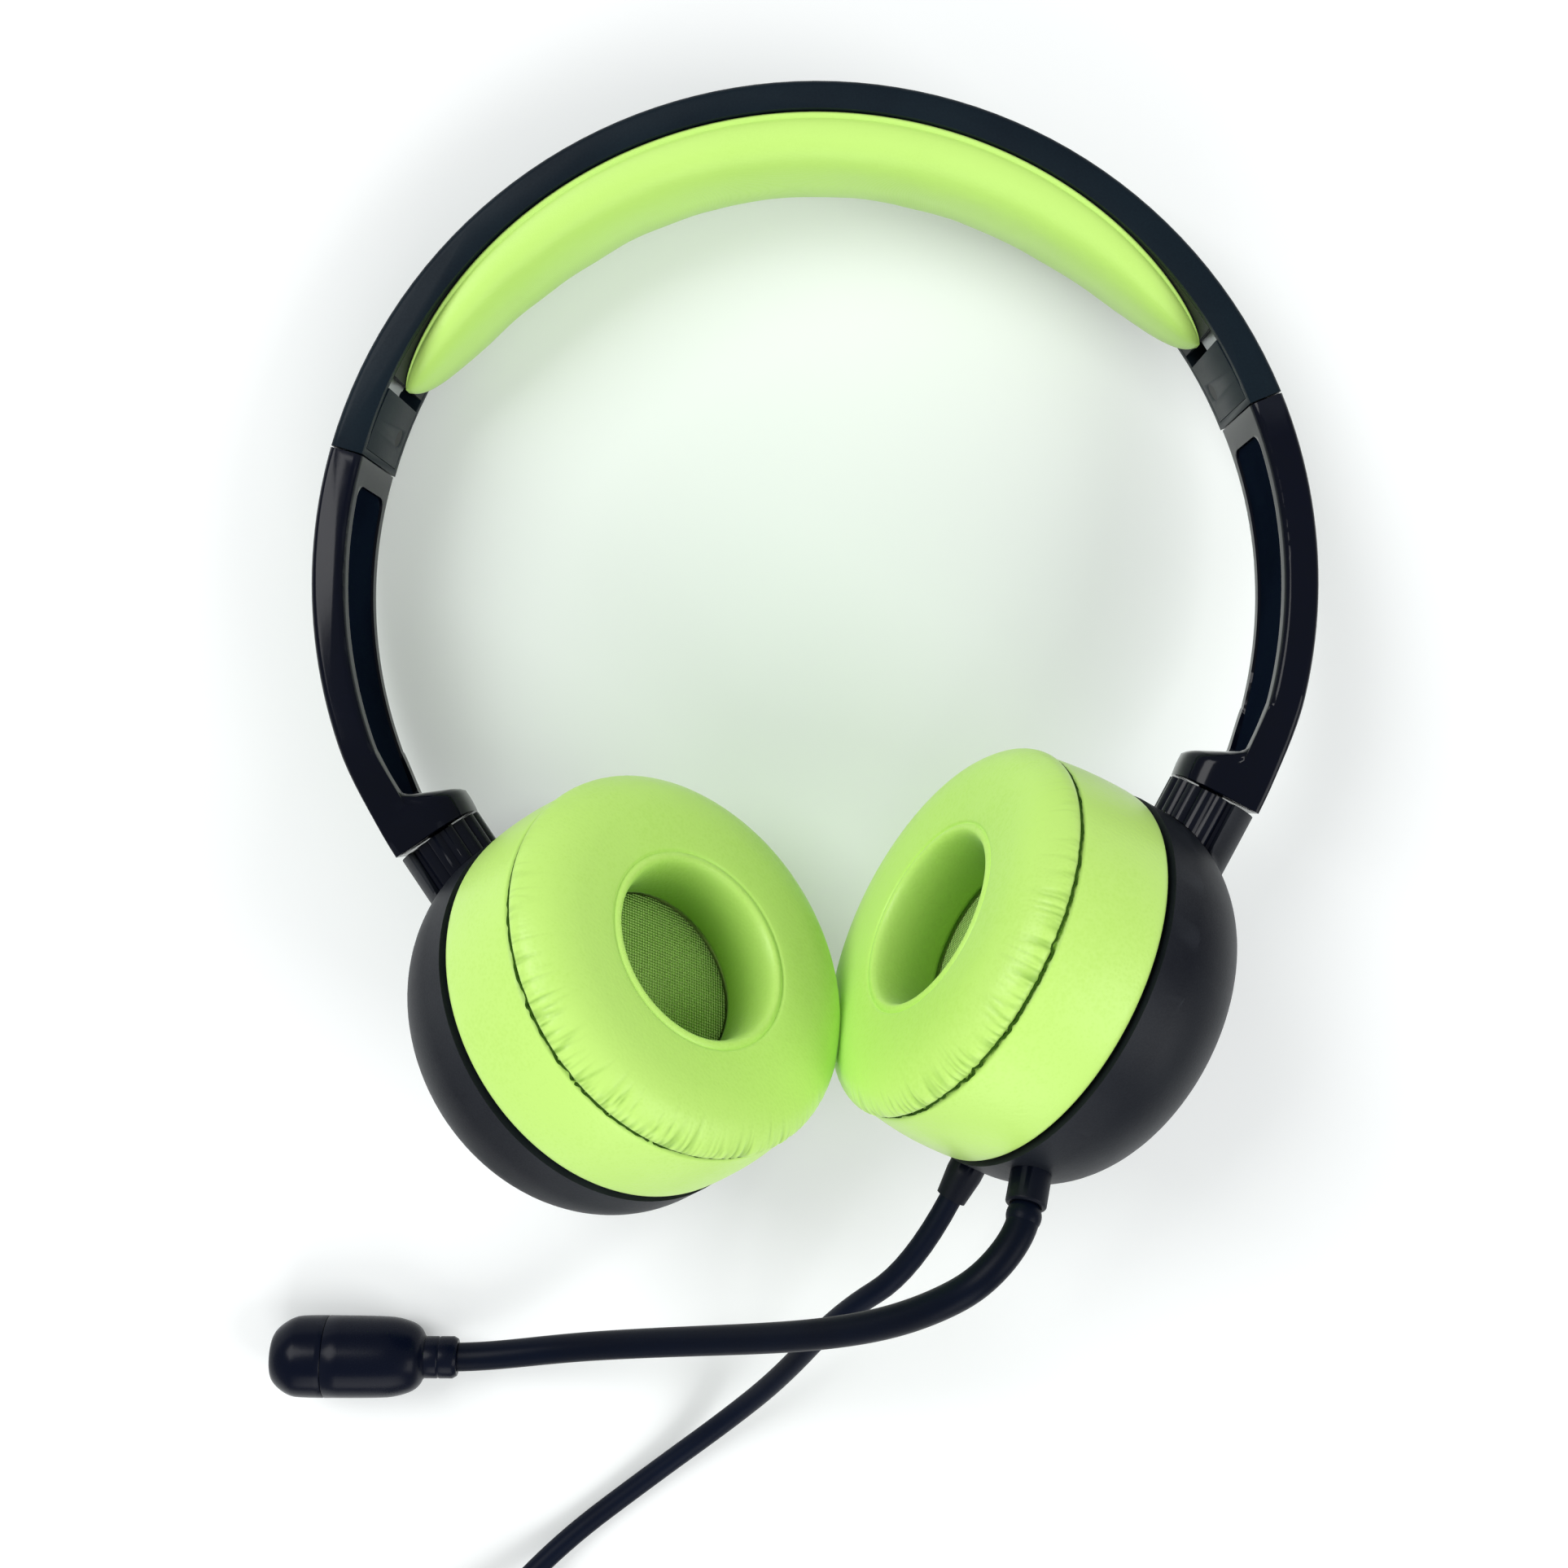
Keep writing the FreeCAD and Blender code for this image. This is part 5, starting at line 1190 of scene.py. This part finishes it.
@dataclass
class Boom:
    """The bendable boom, its collar and the microphone's housing and cap.

    mic_taper, mic_part and port_place are heights from the housing's start, and port_turn is the
    port's angle round it in degrees.
    """

    radius: float = 2.5
    ball_radius: float = 2.75
    ball_out: float = 1.6
    boot_angle: float = 34.0
    boot_length: float = 5.2
    straight: float = 3.0
    collar_grip: float = 3.0
    collar_radius: float = 3.65
    collar_length: float = 5.8
    collar_cone: float = 0.8
    groove_depth: float = 0.18
    groove_shares: tuple[float, float, float] = (0.55, 0.58, 0.61)
    mic_radius: float = 7.1
    mic_length: float = 27.4
    mic_taper: float = 7.0
    mic_part: float = 17.5
    mic_gap: float = 0.12
    mic_wall: float = 1.3
    port_radius: float = 0.8
    port_rim: float = 0.32
    port_proud: float = 0.40
    port_place: float = 19.3
    port_turn: float = 40.0
    points: tuple[Place, ...] = (
        (30.27, -75.1, 60.3),
        (23.77, -79.8, 57.6),
        (14.77, -85.8, 50.4),
        (1.67, -91.5, 39.2),
        (-15.83, -96.9, 25.0),
        (-36.43, -101.5, 13.0),
        (-48.43, -103.8, 9.0),
        (-57.13, -104.7, 7.1),
        (-62.13, -104.3, 7.1),
    )

    def mic_frame(self) -> Matrix:
        """The frame at the collar's start.

        Returns:
            The frame with Z along the microphone, in millimetres of the row frame.
        """
        last, before = Vector(self.points[-1]), Vector(self.points[-2])
        way = (last - before).normalized()
        across = UP.cross(way).normalized()
        return axes(last - way * self.collar_grip, across, way.cross(across), way)

    def build(self) -> None:
        """Makes all pieces that ride on the boom."""
        self.stem()
        self.collar()
        place = self.mic_frame() @ Matrix.Translation((0, 0, self.collar_length))
        self.housing(place)
        self.nose(place)
        self.port(place)

    def stem(self) -> None:
        """The boom's tube with the ball at its foot."""
        foot = boot_frame(self.boot_angle, self.boot_length + self.ball_out)
        out = foot.to_3x3() @ UP
        route = [foot.translation, foot.translation + out * self.straight]
        route += [Vector(point) for point in self.points]
        shape = tube(route, self.radius, order=4, steps=24, sides=8)
        ball = Shape()
        bmesh.ops.create_uvsphere(ball.mesh, u_segments=40, v_segments=24, radius=self.ball_radius)
        shape.join(ball.placed(foot))
        finished(shape, Job("boom_stem", "boom_rubber", "boom", ("boom_tube",), sharp=60))

    def collar(self) -> None:
        """The tapered collar that grips the boom, with a groove round it."""
        inner, outer, length = self.radius - 0.2, self.collar_radius, self.collar_length
        start, middle, stop = (share * length for share in self.groove_shares)
        profile = [
            (inner, 0.0),
            (self.radius + 0.7, 0.0),
            (outer, self.collar_cone),
            (outer, start),
            (outer - self.groove_depth, middle),
            (outer, stop),
            (outer, length),
            (inner, length),
        ]
        shape = turned(profile, 64, 0.12)
        finished(shape, Job("collar_ring", "mic_plastic", "boom", ("mic_collar",), self.mic_frame()))

    def housing(self, place: Matrix) -> None:
        """The microphone's housing, from the collar to the parting.

        Args:
            place: the housing's frame.
        """
        outer, part, neck = self.mic_radius, self.mic_part, self.collar_radius + 0.3
        bore = outer - self.mic_wall
        side = smooth_line(
            [
                (neck, 0.35),
                (neck + 1.5, 0.9),
                (outer - 0.35, self.mic_taper - 2.6),
                (outer, self.mic_taper + 1.0),
                (outer, part - 0.15),
            ],
            steps=5,
        )
        corners = [(0.0, 0.0), (neck - 0.35, 0.0)] + [(point.x, point.z) for point in side]
        corners += [(outer - self.mic_gap, part), (bore, part), (bore, part - 1), (0.0, part - 1)]
        finished(turned(corners), Job("mic_body", "mic_plastic", "boom", ("mic_housing",), place, sharp=45))

    def nose(self, place: Matrix) -> None:
        """The microphone's domed closing cap.

        Args:
            place: the housing's frame.
        """
        outer, part, end = self.mic_radius, self.mic_part, self.mic_length
        dome = smooth_line(
            [
                (outer, part + 0.27),
                (outer, part + 3.6),
                (outer - 0.25, end - 3.6),
                (0.66 * outer, end - 0.55),
                (0.36 * outer, end),
                (0.0, end),
            ],
            steps=6,
        )
        corners = [(0.0, part + 0.1), (outer - self.mic_gap, part + 0.1)]
        corners += [(point.x, point.z) for point in dome]
        finished(turned(corners), Job("mic_nose", "mic_plastic", "boom", ("mic_cap",), place, sharp=50))

    def port(self, place: Matrix) -> None:
        """The small rimmed sound port on the cap.

        Args:
            place: the housing's frame.
        """
        turn = math.radians(self.port_turn)
        out = -Vector((math.sin(turn), math.cos(turn), 0))
        foot = out * (self.mic_radius - 0.35) + UP * self.port_place
        radius, rim, floor = self.port_radius, self.port_radius + self.port_rim, 0.05
        profile = [
            (rim, 0.0),
            (rim, self.port_proud),
            (radius, self.port_proud),
            (radius - 0.05, floor),
            (0.0, floor),
            (0.0, 0.0),
        ]
        frame_there = place @ standing(out, foot)
        finished(turned(profile, 32, 0.06), Job("sound_port", "insulator", "boom", (), frame_there))


@dataclass(frozen=True)
class Gather:
    """One family of gathers along a seam: how many there are, how deep and how long in millimetres.

    wander says how far a gather strays as it runs away from the seam, and length_spread and
    length_rate how much and how often their lengths differ.
    """

    rate: int
    share: float
    length: float
    width: float = 0.15
    wander: float = 0.07
    length_spread: float = 0.8
    length_rate: float = 6

    def at(self, angle: float, reach: float) -> float:
        """How deep a place is in these gathers.

        Args:
            angle: the place round the seam in radians.
            reach: its distance from the seam.

        Returns:
            From 0 to 1.
        """
        drift = UP * (3 + self.rate + self.wander * reach)
        valley = max(0.0, 1 - abs(noise.noise(around(angle) * self.rate + drift)) / self.width)
        other = noise.noise(around(angle) * self.length_rate + UP * self.rate)
        length = self.length * (1 + self.length_spread * other)
        return self.share * valley * math.exp(-((reach / length) ** 2))


@dataclass(frozen=True)
class Ripple:
    """One noise round a seam: how fine it is, its share and the height that it is read at."""

    rate: float
    share: float
    seed: float

    def at(self, angle: float) -> float:
        """Its value at an angle in radians."""
        return self.share * noise.noise(around(angle) * self.rate + UP * self.seed)


@dataclass
class Cushion:
    """A leatherette ear cushion: side strip, sewn seam, crown, well and the cloth at its bottom.

    Heights are in the cup's frame. gather_spread and slack_angle say in degrees how far the slack
    skin runs and where its middle is. The puff is the swell beside the seam, and crown_way the way
    out of the crown there, by its parts across and up. The slump is the slow wave of soft foam: it
    starts at slump_start above the foot and is full after slump_run. crown_start is the least
    radius of the crown's outer part, and the rest of it has only slump_inner of the slump. Painted
    shade darkens the skin down the ear well, beside the seam and in the gathers; the well, seam and
    gather values say how dark it gets, and over what distance.
    """

    side: Side
    foot: float = 12.75
    foot_radius: float = 32.7
    seam_height: float = 28.9
    seam_radius: float = 31.9
    crown_height: float = 35.1
    crown_start: float = 22.0
    crown_way: Span = (0.6, 0.8)
    lip_drop: float = 0.9
    lip_inset: float = 0.7
    well_seam: float = 16.6
    well_radius: float = 14.3
    well_foot: float = 15.2
    cloth_height: float = 21.4
    cloth_radius: float = 15.1
    cloth_rise: float = 0.35
    steps: int = 600
    gathers: tuple[Gather, ...] = (Gather(21, 1.0, 3.4), Gather(38, 0.75, 2.2))
    gather_depth: float = 0.50
    gather_start: float = 0.6
    gather_reach: float = 7.5
    seam_half: float = 0.2
    gather_spread: float = 70.0
    slack_angle: float = 55.0
    slack_least: float = 0.10
    puff: float = 0.28
    puff_start: float = 0.8
    puff_reach: float = 3.4
    slump: float = 0.22
    slump_seed: float = 20.0
    slump_rate: float = 1.3
    slump_rise: float = 0.05
    slump_start: float = 2
    slump_run: float = 6
    slump_inner: float = 0.4
    # Painted shade: how the ear well darkens toward the cloth, and how dark the skin gets beside the seam and
    # in the gathers
    well_shade: float = 2
    well_shade_power: float = 0.6
    seam_shade: float = 0.8
    seam_shade_reach: float = 0.9
    gather_shade: float = 0.95
    thread_radius: float = 0.27
    thread_inset: float = 0.36
    thread_rise: float = 0.12
    stitches: int = 150
    stitch_dip: float = 0.05
    wavers: tuple[Ripple, ...] = (Ripple(16, 1.0, 2), Ripple(34, 0.8, 7))
    waver_way: Span = (0.12, 0.45)
    waver_taut: float = 0.5
    waver_slack: float = 1.9

    def outline(self) -> list[Vector]:
        """The cushion's closed profile.

        Returns:
            Its points, from the foot outwards, over the crown and down the well.
        """
        rim, seam, top = self.seam_radius, self.seam_height, self.crown_height
        mouth, well, foot, cloth = self.well_seam, self.well_radius, self.well_foot, self.cloth_height
        strip = smooth_line(
            [
                (self.foot_radius - 1.2, self.foot),
                (self.foot_radius - 0.1, self.foot + 0.1),
                (self.foot_radius + 0.3, self.foot + 2.2),
                (rim + 0.9, seam - 7),
                (rim + 0.1, seam - 1.3),
                (rim - 0.15, seam - 0.45),
                (rim - 0.75, seam),
            ],
            steps=4,
        )
        crown = smooth_line(
            [
                (rim - 0.75, seam),
                (rim - 0.1, seam + 0.35),
                (rim + 0.15, seam + 1.3),
                (rim - 0.5, seam + 3.0),
                (rim - 3.2, top - 0.8),
                (rim - 7.0, top + 0.2),
                (rim - 10.6, top + 0.15),
                (mouth + 1.0, top - 0.15),
                (mouth + 0.3, top - 0.35),
            ],
            steps=6,
        )
        lip = smooth_line(
            [
                (mouth + 0.3, top - 0.35),
                (mouth, top - 0.75),
                (mouth - 0.3, top - 0.35),
                (mouth - 1.1, top - 0.2),
                (well + 0.6, top - self.lip_drop),
                (well + 0.1, top - 2.6),
                (well - 0.2, top - 6),
                (foot - 0.4, cloth + 2.5),
                (foot - 0.3, cloth + 1.2),
            ],
            steps=5,
        )
        under = [(foot + 0.1, cloth + 0.9), (foot + 1.1, cloth + 0.8), (foot + 1.2, cloth - 1.5)]
        under.append((foot + 1.2, self.foot))
        return strip + crown[1:] + lip[1:] + [Vector((across, 0, height)) for across, height in under]

    def looseness(self, angle: float) -> float:
        """How slack the crown's skin is.

        Args:
            angle: the place round the seam in radians.

        Returns:
            From slack_least to 1.
        """
        slack = math.radians(self.slack_angle * self.side.value - 90)
        away = math.degrees(abs(math.remainder(angle - slack, FULL_TURN)))
        return self.slack_least + (1 - self.slack_least) * math.exp(-((away / self.gather_spread) ** 4))

    def seam_reach(self, place: Vector) -> float:
        """How far a place is from the outer seam."""
        radius = math.hypot(place.x, place.y)
        return math.hypot(radius - self.seam_radius, place.z - self.seam_height)

    def swell(self, place: Vector) -> float:
        """How much of the puff beside the seam a place of the crown has.

        Args:
            place: the place.

        Returns:
            From 0 to 1.
        """
        reach = self.seam_reach(place)
        near = min(1.0, reach / self.puff_start) * math.exp(-((reach / self.puff_reach) ** 2))
        return near * self.looseness(math.atan2(place.y, place.x))

    def creased(self, place: Vector) -> Optional[float]:
        """How deep in a gather a place is.

        Args:
            place: the place.

        Returns:
            From 0 to 1, or None away from the crown's side of the seam.
        """
        reach = self.seam_reach(place)
        below = place.z - self.seam_height < -self.seam_half
        if below or math.hypot(place.x, place.y) < self.crown_start or reach > self.gather_reach:
            return None
        angle = math.atan2(place.y, place.x)
        deepest = max(gather.at(angle, reach) for gather in self.gathers)
        return deepest * min(1.0, (reach + self.seam_half) / self.gather_start) * self.looseness(angle)

    def gathered(self, place: Vector) -> Vector:
        """Pulls a point in where the seam gathers the crown, and slumps it as soft foam does.

        Args:
            place: the point of the plain spun shape.

        Returns:
            The point's new place.
        """
        radius = math.hypot(place.x, place.y)
        out = Vector((place.x, place.y, 0)) / radius
        moved = place.copy()
        crease = self.creased(place)
        if crease is not None:
            way = out * self.crown_way[0] + UP * self.crown_way[1]
            moved += way * (self.gather_depth * (self.puff * self.swell(place) - crease))
        above = place.z - self.foot - self.slump_start
        if above > 0:
            angle, rate = math.atan2(place.y, place.x), self.slump_rate
            height = self.slump_seed + place.z * self.slump_rise
            spot = Vector((math.cos(angle) * rate, math.sin(angle) * rate, height))
            share = 1 if radius > self.crown_start else self.slump_inner
            moved += out * (self.slump * noise.noise(spot) * min(1.0, above / self.slump_run) * share)
        return moved

    def depth(self, place: Vector) -> float:
        """The painted shade of the skin for its place: down the ear well, along the seam and in the gathers.

        Args:
            place: the place.

        Returns:
            From 0 to 1.
        """
        # Painted shade: darker down the ear well toward the cloth, beside the seam and in the gathers'
        # creases
        radius = math.hypot(place.x, place.y)
        down = self.crown_height - self.lip_drop - place.z
        if radius < self.well_seam - self.lip_inset and down > 0:
            full = self.crown_height - self.cloth_height - self.well_shade
            return min(1.0, (down / full) ** self.well_shade_power)
        seam = math.hypot(radius - self.seam_radius + 0.4, place.z - self.seam_height - 0.1)
        beside = self.seam_shade * max(0.0, 1 - seam / self.seam_shade_reach)
        return max(beside, self.gather_shade * (self.creased(place) or 0.0))

    def job(self, name: str, finish: str, node: str, sharp: float) -> Job:
        """What one of the cushion's pieces is.

        Args:
            name: the piece's name, without its side.
            finish: the finish.
            node: the node that it stands for, without its side, or nothing.
            sharp: the angle of a hard edge in degrees.

        Returns:
            The job, in the cup's frame and on the cup's body.
        """
        label = self.side.label
        nodes = (f"{node}_{label}",) if node else ()
        return Job(f"{name}_{label}", finish, f"{label}_cup", nodes, cup_frame(self.side), label, sharp)

    def build(self) -> None:
        """Makes the cushion, its stitched thread and the cloth in its well."""
        # The shade attribute holds painted shade, marked before the gathers move the skin
        shape = Shape().line(self.outline(), True).spin(self.steps).marked(self.depth).moved(self.gathered)
        piece = finished(shape, self.job("cushion", "cushion_leather", "ear_cushion", 75))
        self.thread()
        self.cloth()

    def thread(self) -> None:
        """The dark thread in the outer seam, one closed line that wavers from stitch to stitch."""
        line = []
        for number in range(3 * self.stitches):
            angle = FULL_TURN * number / (3 * self.stitches)
            waver = sum(ripple.at(angle) for ripple in self.wavers)
            waver *= self.waver_taut + self.waver_slack * self.looseness(angle)
            dip = self.stitch_dip * math.cos(FULL_TURN * number / 3)
            radius = self.seam_radius - self.thread_inset + self.waver_way[0] * waver + dip
            height = self.seam_height + self.thread_rise + self.waver_way[1] * waver + dip
            line.append((radius * math.cos(angle), radius * math.sin(angle), height))
        shape = tube(line, self.thread_radius, closed=True)
        finished(shape, self.job("seam_thread", "seam_thread", "", 80))

    def cloth(self) -> None:
        """The woven cloth over the driver, a shallow taut disc."""
        low, edge, radius = self.cloth_height, self.cloth_height + 0.45, self.cloth_radius
        profile = [(0.0, low), (radius, low), (radius, low + 0.3)]
        for share in (0.985, 0.8, 0.6, 0.4, 0.2, 0.0):
            profile.append((radius * share, edge + self.cloth_rise * (1 - share**2)))
        piece = finished(turned(profile), self.job("speaker_disc", "speaker_cloth", "speaker_cloth", 60))


@dataclass(frozen=True)
class Slack:
    """One noise of slack fabric: how fine it is along and across, its seed and its depth."""

    along: float
    across: float
    seed: float
    depth: float

    def at(self, share: float, across: float) -> float:
        """Its depth at a place of the pad, by shares of its length and half width."""
        return noise.noise(Vector((share * self.along, across * self.across, self.seed))) * self.depth


@dataclass
class Band:
    """The headband's padded sausage, along the inside of its shell.

    The section is spun round a ring of spin_radius first and then laid along the band. tip_power
    and side_power say how bluntly its height and its width end at the tips.
    """

    band_radius: float = 81.0
    band_top: float = 4.7
    band_end: float = 5.5
    part_angle: float = 70.7
    pad_angle: float = 61.4
    pad_rise: float = 8.7
    pad_half: float = 10.5
    pad_sink: float = 0.1
    tip_power: float = 3.4
    side_power: float = 7
    least_rise: float = 0.02
    least_half: float = 0.12
    far_shade: float = 0.4
    slacks: tuple[Slack, ...] = (Slack(9, 1.4, 5.0, 0.22), Slack(30, 2.2, 8.0, 0.05))
    spin_radius: float = 10
    stations: int = 128

    def inner_curve(self) -> tuple[float, float]:
        """The arc of the band's inside.

        Returns:
            The height of its centre and its radius.
        """
        turn = math.radians(self.part_angle)
        end_x = (self.band_radius - self.band_end) * math.sin(turn)
        end_y = (self.band_radius - self.band_end) * math.cos(turn)
        top_y = self.band_radius - self.band_top
        centre = (top_y**2 - end_x**2 - end_y**2) / (2 * (top_y - end_y))
        return centre, top_y - centre

    def section(self) -> list[Vector]:
        """The pad's section, in shares of its half width and of its height.

        Returns:
            The points round the closed line.
        """
        half = [
            (0.0, -0.02),
            (0.75, -0.02),
            (0.93, 0.0),
            (0.985, 0.04),
            (0.965, 0.105),
            (0.95, 0.13),
            (0.985, 0.18),
            (1.01, 0.32),
            (1.0, 0.56),
            (0.90, 0.80),
            (0.66, 0.97),
            (0.34, 1.035),
            (0.0, 1.05),
        ]
        back = [(-across, height) for across, height in reversed(half[1:-1])]
        return smooth_line(half + back, closed=True, steps=5)

    def laid(self, point: Vector) -> Vector:
        """Lays a point of the half ring round X along the band.

        Args:
            point: the point, whose turn round the ring gives its place along the band.

        Returns:
            The point in the head frame.
        """
        centre, radius = self.inner_curve()
        share = -math.cos(math.atan2(point.z, point.y))
        across, height = point.x, math.hypot(point.y, point.z) - self.spin_radius
        full = max(0.0, 1 - abs(share) ** self.tip_power) ** 0.5
        wide = max(0.0, 1 - abs(share) ** self.side_power) ** 0.5
        rise = self.pad_rise * max(self.least_rise, full) * height
        turn = math.radians(self.pad_angle * share)
        out = Vector((math.sin(turn), math.cos(turn), 0))
        slack = sum(fold.at(share, across) for fold in self.slacks) * (full * max(0.0, height))
        seat = Vector((0, centre, 0)) + out * (radius - self.pad_sink)
        return seat + UP * (across * self.pad_half * max(self.least_half, wide)) - out * (rise + slack)

    def shaded(self, point: Vector) -> float:
        """The painted shade of the fabric for its place in the section: darker on the side away from the
        front.
        """
        return self.far_shade * max(0.0, min(1.0, 0.1 - point.x))

    def build(self) -> None:
        """Makes the pad, spun, laid along the band and drawn in to rounded tips."""
        ring = [Vector((point.x, self.spin_radius + point.z, 0)) for point in self.section()]
        shape = Shape().line(ring, True).spin(self.stations, (1, 0, 0), math.pi)
        # Painted shade on the pad's far side goes into the shade attribute
        shape.marked(self.shaded).moved(self.laid).weld(0.02).close()
        piece = finished(shape, Job("pad", "pad_fabric", "band", ("headband_pad",), lay(), "band", sharp=80))


@dataclass(frozen=True)
class Moulding:
    """A hard piece: its CAD node, finish, body and the width that its edges are eased by."""

    node: str
    finish: str
    body: str
    ease: float = 0.0


@dataclass
class Moulded:
    """Hard pieces that keep their CAD shape, welded, with their edges eased.

    The arms' ends are narrowed from narrow_start on, over narrow_run, down to end_half, and their
    cheeks over the swivel barrel are rounded from cheek_start on, over cheek_run. All four are
    degrees from the top of the band. The slices cut the edges that this bends at.
    """

    pieces: tuple[Moulding, ...] = (
        Moulding("headband_shell", "band_plastic", "band", 0.25),
        Moulding("band_end_cover_left", "band_plastic", "band", 0.12),
        Moulding("band_end_cover_right", "band_plastic", "band", 0.12),
        Moulding("band_end_screws", "dark_steel", "band"),
        Moulding("arm_shell_left", "arm_plastic", "left_arm", 0.35),
        Moulding("arm_shell_right", "arm_plastic", "right_arm", 0.35),
        Moulding("arm_panel_left", "panel_plastic", "left_arm", 0.12),
        Moulding("arm_panel_right", "panel_plastic", "right_arm", 0.12),
        Moulding("swivel_barrel_left", "arm_plastic", "left_cup"),
        Moulding("swivel_barrel_right", "arm_plastic", "right_cup"),
        Moulding("cup_shell_left", "shell_plastic", "left_cup"),
        Moulding("cup_shell_right", "shell_plastic", "right_cup"),
        Moulding("boom_boot", "boot_rubber", "right_cup"),
        Moulding("cable_boot", "boot_rubber", "right_cup"),
    )
    flat_angle: float = 0.4
    hard_angle: float = 42.0
    arm_half: float = 11.0
    arm_inner: float = 75.5
    end_half: float = 8.12
    end_gap: float = 0.02
    end_core: float = 5.5
    narrow_start: float = 106.0
    narrow_run: float = 10.0
    cheek_start: float = 113.0
    cheek_run: float = 3.6
    cheek_least: float = 0.06
    slice_heights: tuple[float, ...] = (2.0, 4.0, 5.5, 7.0, 8.2, 9.4, 10.3)
    slice_start: int = 102
    slice_stop: int = 119

    def build(self) -> None:
        """Makes a welded, eased piece for each node."""
        for piece in self.pieces:
            shape = self.welded(piece.node)
            if piece.ease:
                shape.bevel(piece.ease, self.hard_angle)
            if piece.node.startswith("arm_"):
                self.draw_in(shape, Side.LEFT if piece.node.endswith("left") else Side.RIGHT)
            finished(shape, Job(f"{piece.node}_skin", piece.finish, piece.body, (piece.node,), sharp=30))

    def welded(self, node: str) -> Shape:
        """A copy of a CAD node's mesh, with its doubles merged and its flat faces joined.

        Args:
            node: the node's name.

        Returns:
            The shape, in millimetres of the row frame.
        """
        shape = Shape(frame["nodes"][node].data).placed(Matrix.Scale(1 / MM, 4))
        mesh = shape.mesh
        bmesh.ops.remove_doubles(mesh, verts=mesh.verts, dist=1e-3)
        limit = math.radians(self.flat_angle)
        bmesh.ops.dissolve_limit(mesh, angle_limit=limit, verts=mesh.verts, edges=mesh.edges)
        return shape

    def draw_in(self, shape: Shape, side: Side) -> None:
        """Narrows the end of an arm and rounds its swell over the swivel barrel.

        Args:
            shape: the arm's shell or panel, in millimetres of the row frame.
            side: the arm's side.
        """
        head = lay()
        shape.placed(head.inverted())
        for height in self.slice_heights:
            shape.sliced((0, 0, height), UP).sliced((0, 0, -height), UP)
        for angle in range(self.slice_start, self.slice_stop):
            shape.sliced((0, 0, 0), polar(1, angle, side).cross(UP))
        bmesh.ops.triangulate(shape.mesh, faces=[face for face in shape.mesh.faces if len(face.verts) > 4])
        shape.moved(lambda point: self.drawn_in(point, side)).placed(head)

    def drawn_in(self, point: Vector, side: Side) -> Vector:
        """The place that a point of the CAD arm takes.

        Args:
            point: the point in the head frame.
            side: the arm's side.

        Returns:
            Its new place.
        """
        angle = math.degrees(math.atan2(side.value * point.x, point.y))
        radius = math.hypot(point.x, point.y)
        high = abs(point.z)
        if high > self.end_core:
            share = self.eased((angle - self.narrow_start) / self.narrow_run)
            kept = (self.end_half - self.end_gap - self.end_core) / (self.arm_half - self.end_core)
            high = self.end_core + (high - self.end_core) * (1 - share * (1 - kept))
        inner = self.arm_inner - radius
        if inner > 0 and angle > self.slice_start:
            cheek = max(0.0, 1 - (min(high, self.end_half) / self.end_half) ** 3) ** (1 / 3)
            cheek *= self.eased((angle - self.cheek_start) / self.cheek_run)
            radius = self.arm_inner - inner * max(self.cheek_least, cheek)
        spot = polar(radius, angle, side)
        return Vector((spot.x, spot.y, math.copysign(high, point.z)))

    @staticmethod
    def eased(share: float) -> float:
        """A share, kept from 0 to 1, with an easy start and end."""
        share = max(0.0, min(1.0, share))
        return share * share * (3 - 2 * share)


class Inner:
    """CAD nodes that are right as they are: they only get their finishes."""

    def build(self) -> None:
        """Gives each node that still shows the material of its slot."""
        slots = {entry["node"]: entry["material_slot"] for entry in frame["record"]["subparts"]}
        for name, node in frame["nodes"].items():
            node.data.materials.clear()
            node.data.materials.append(SHADING.material(slots[name]))


def main() -> None:
    """Builds the scene in order: the studio, then each sub-assembly."""
    logging.basicConfig(level=logging.INFO, format="%(message)s")
    Studio().build()
    Inner().build()
    Cable().build()
    Boom().build()
    for side in Side:
        Cushion(side).build()
    Band().build()
    Moulded().build()


if __name__ == "__main__":
    main()
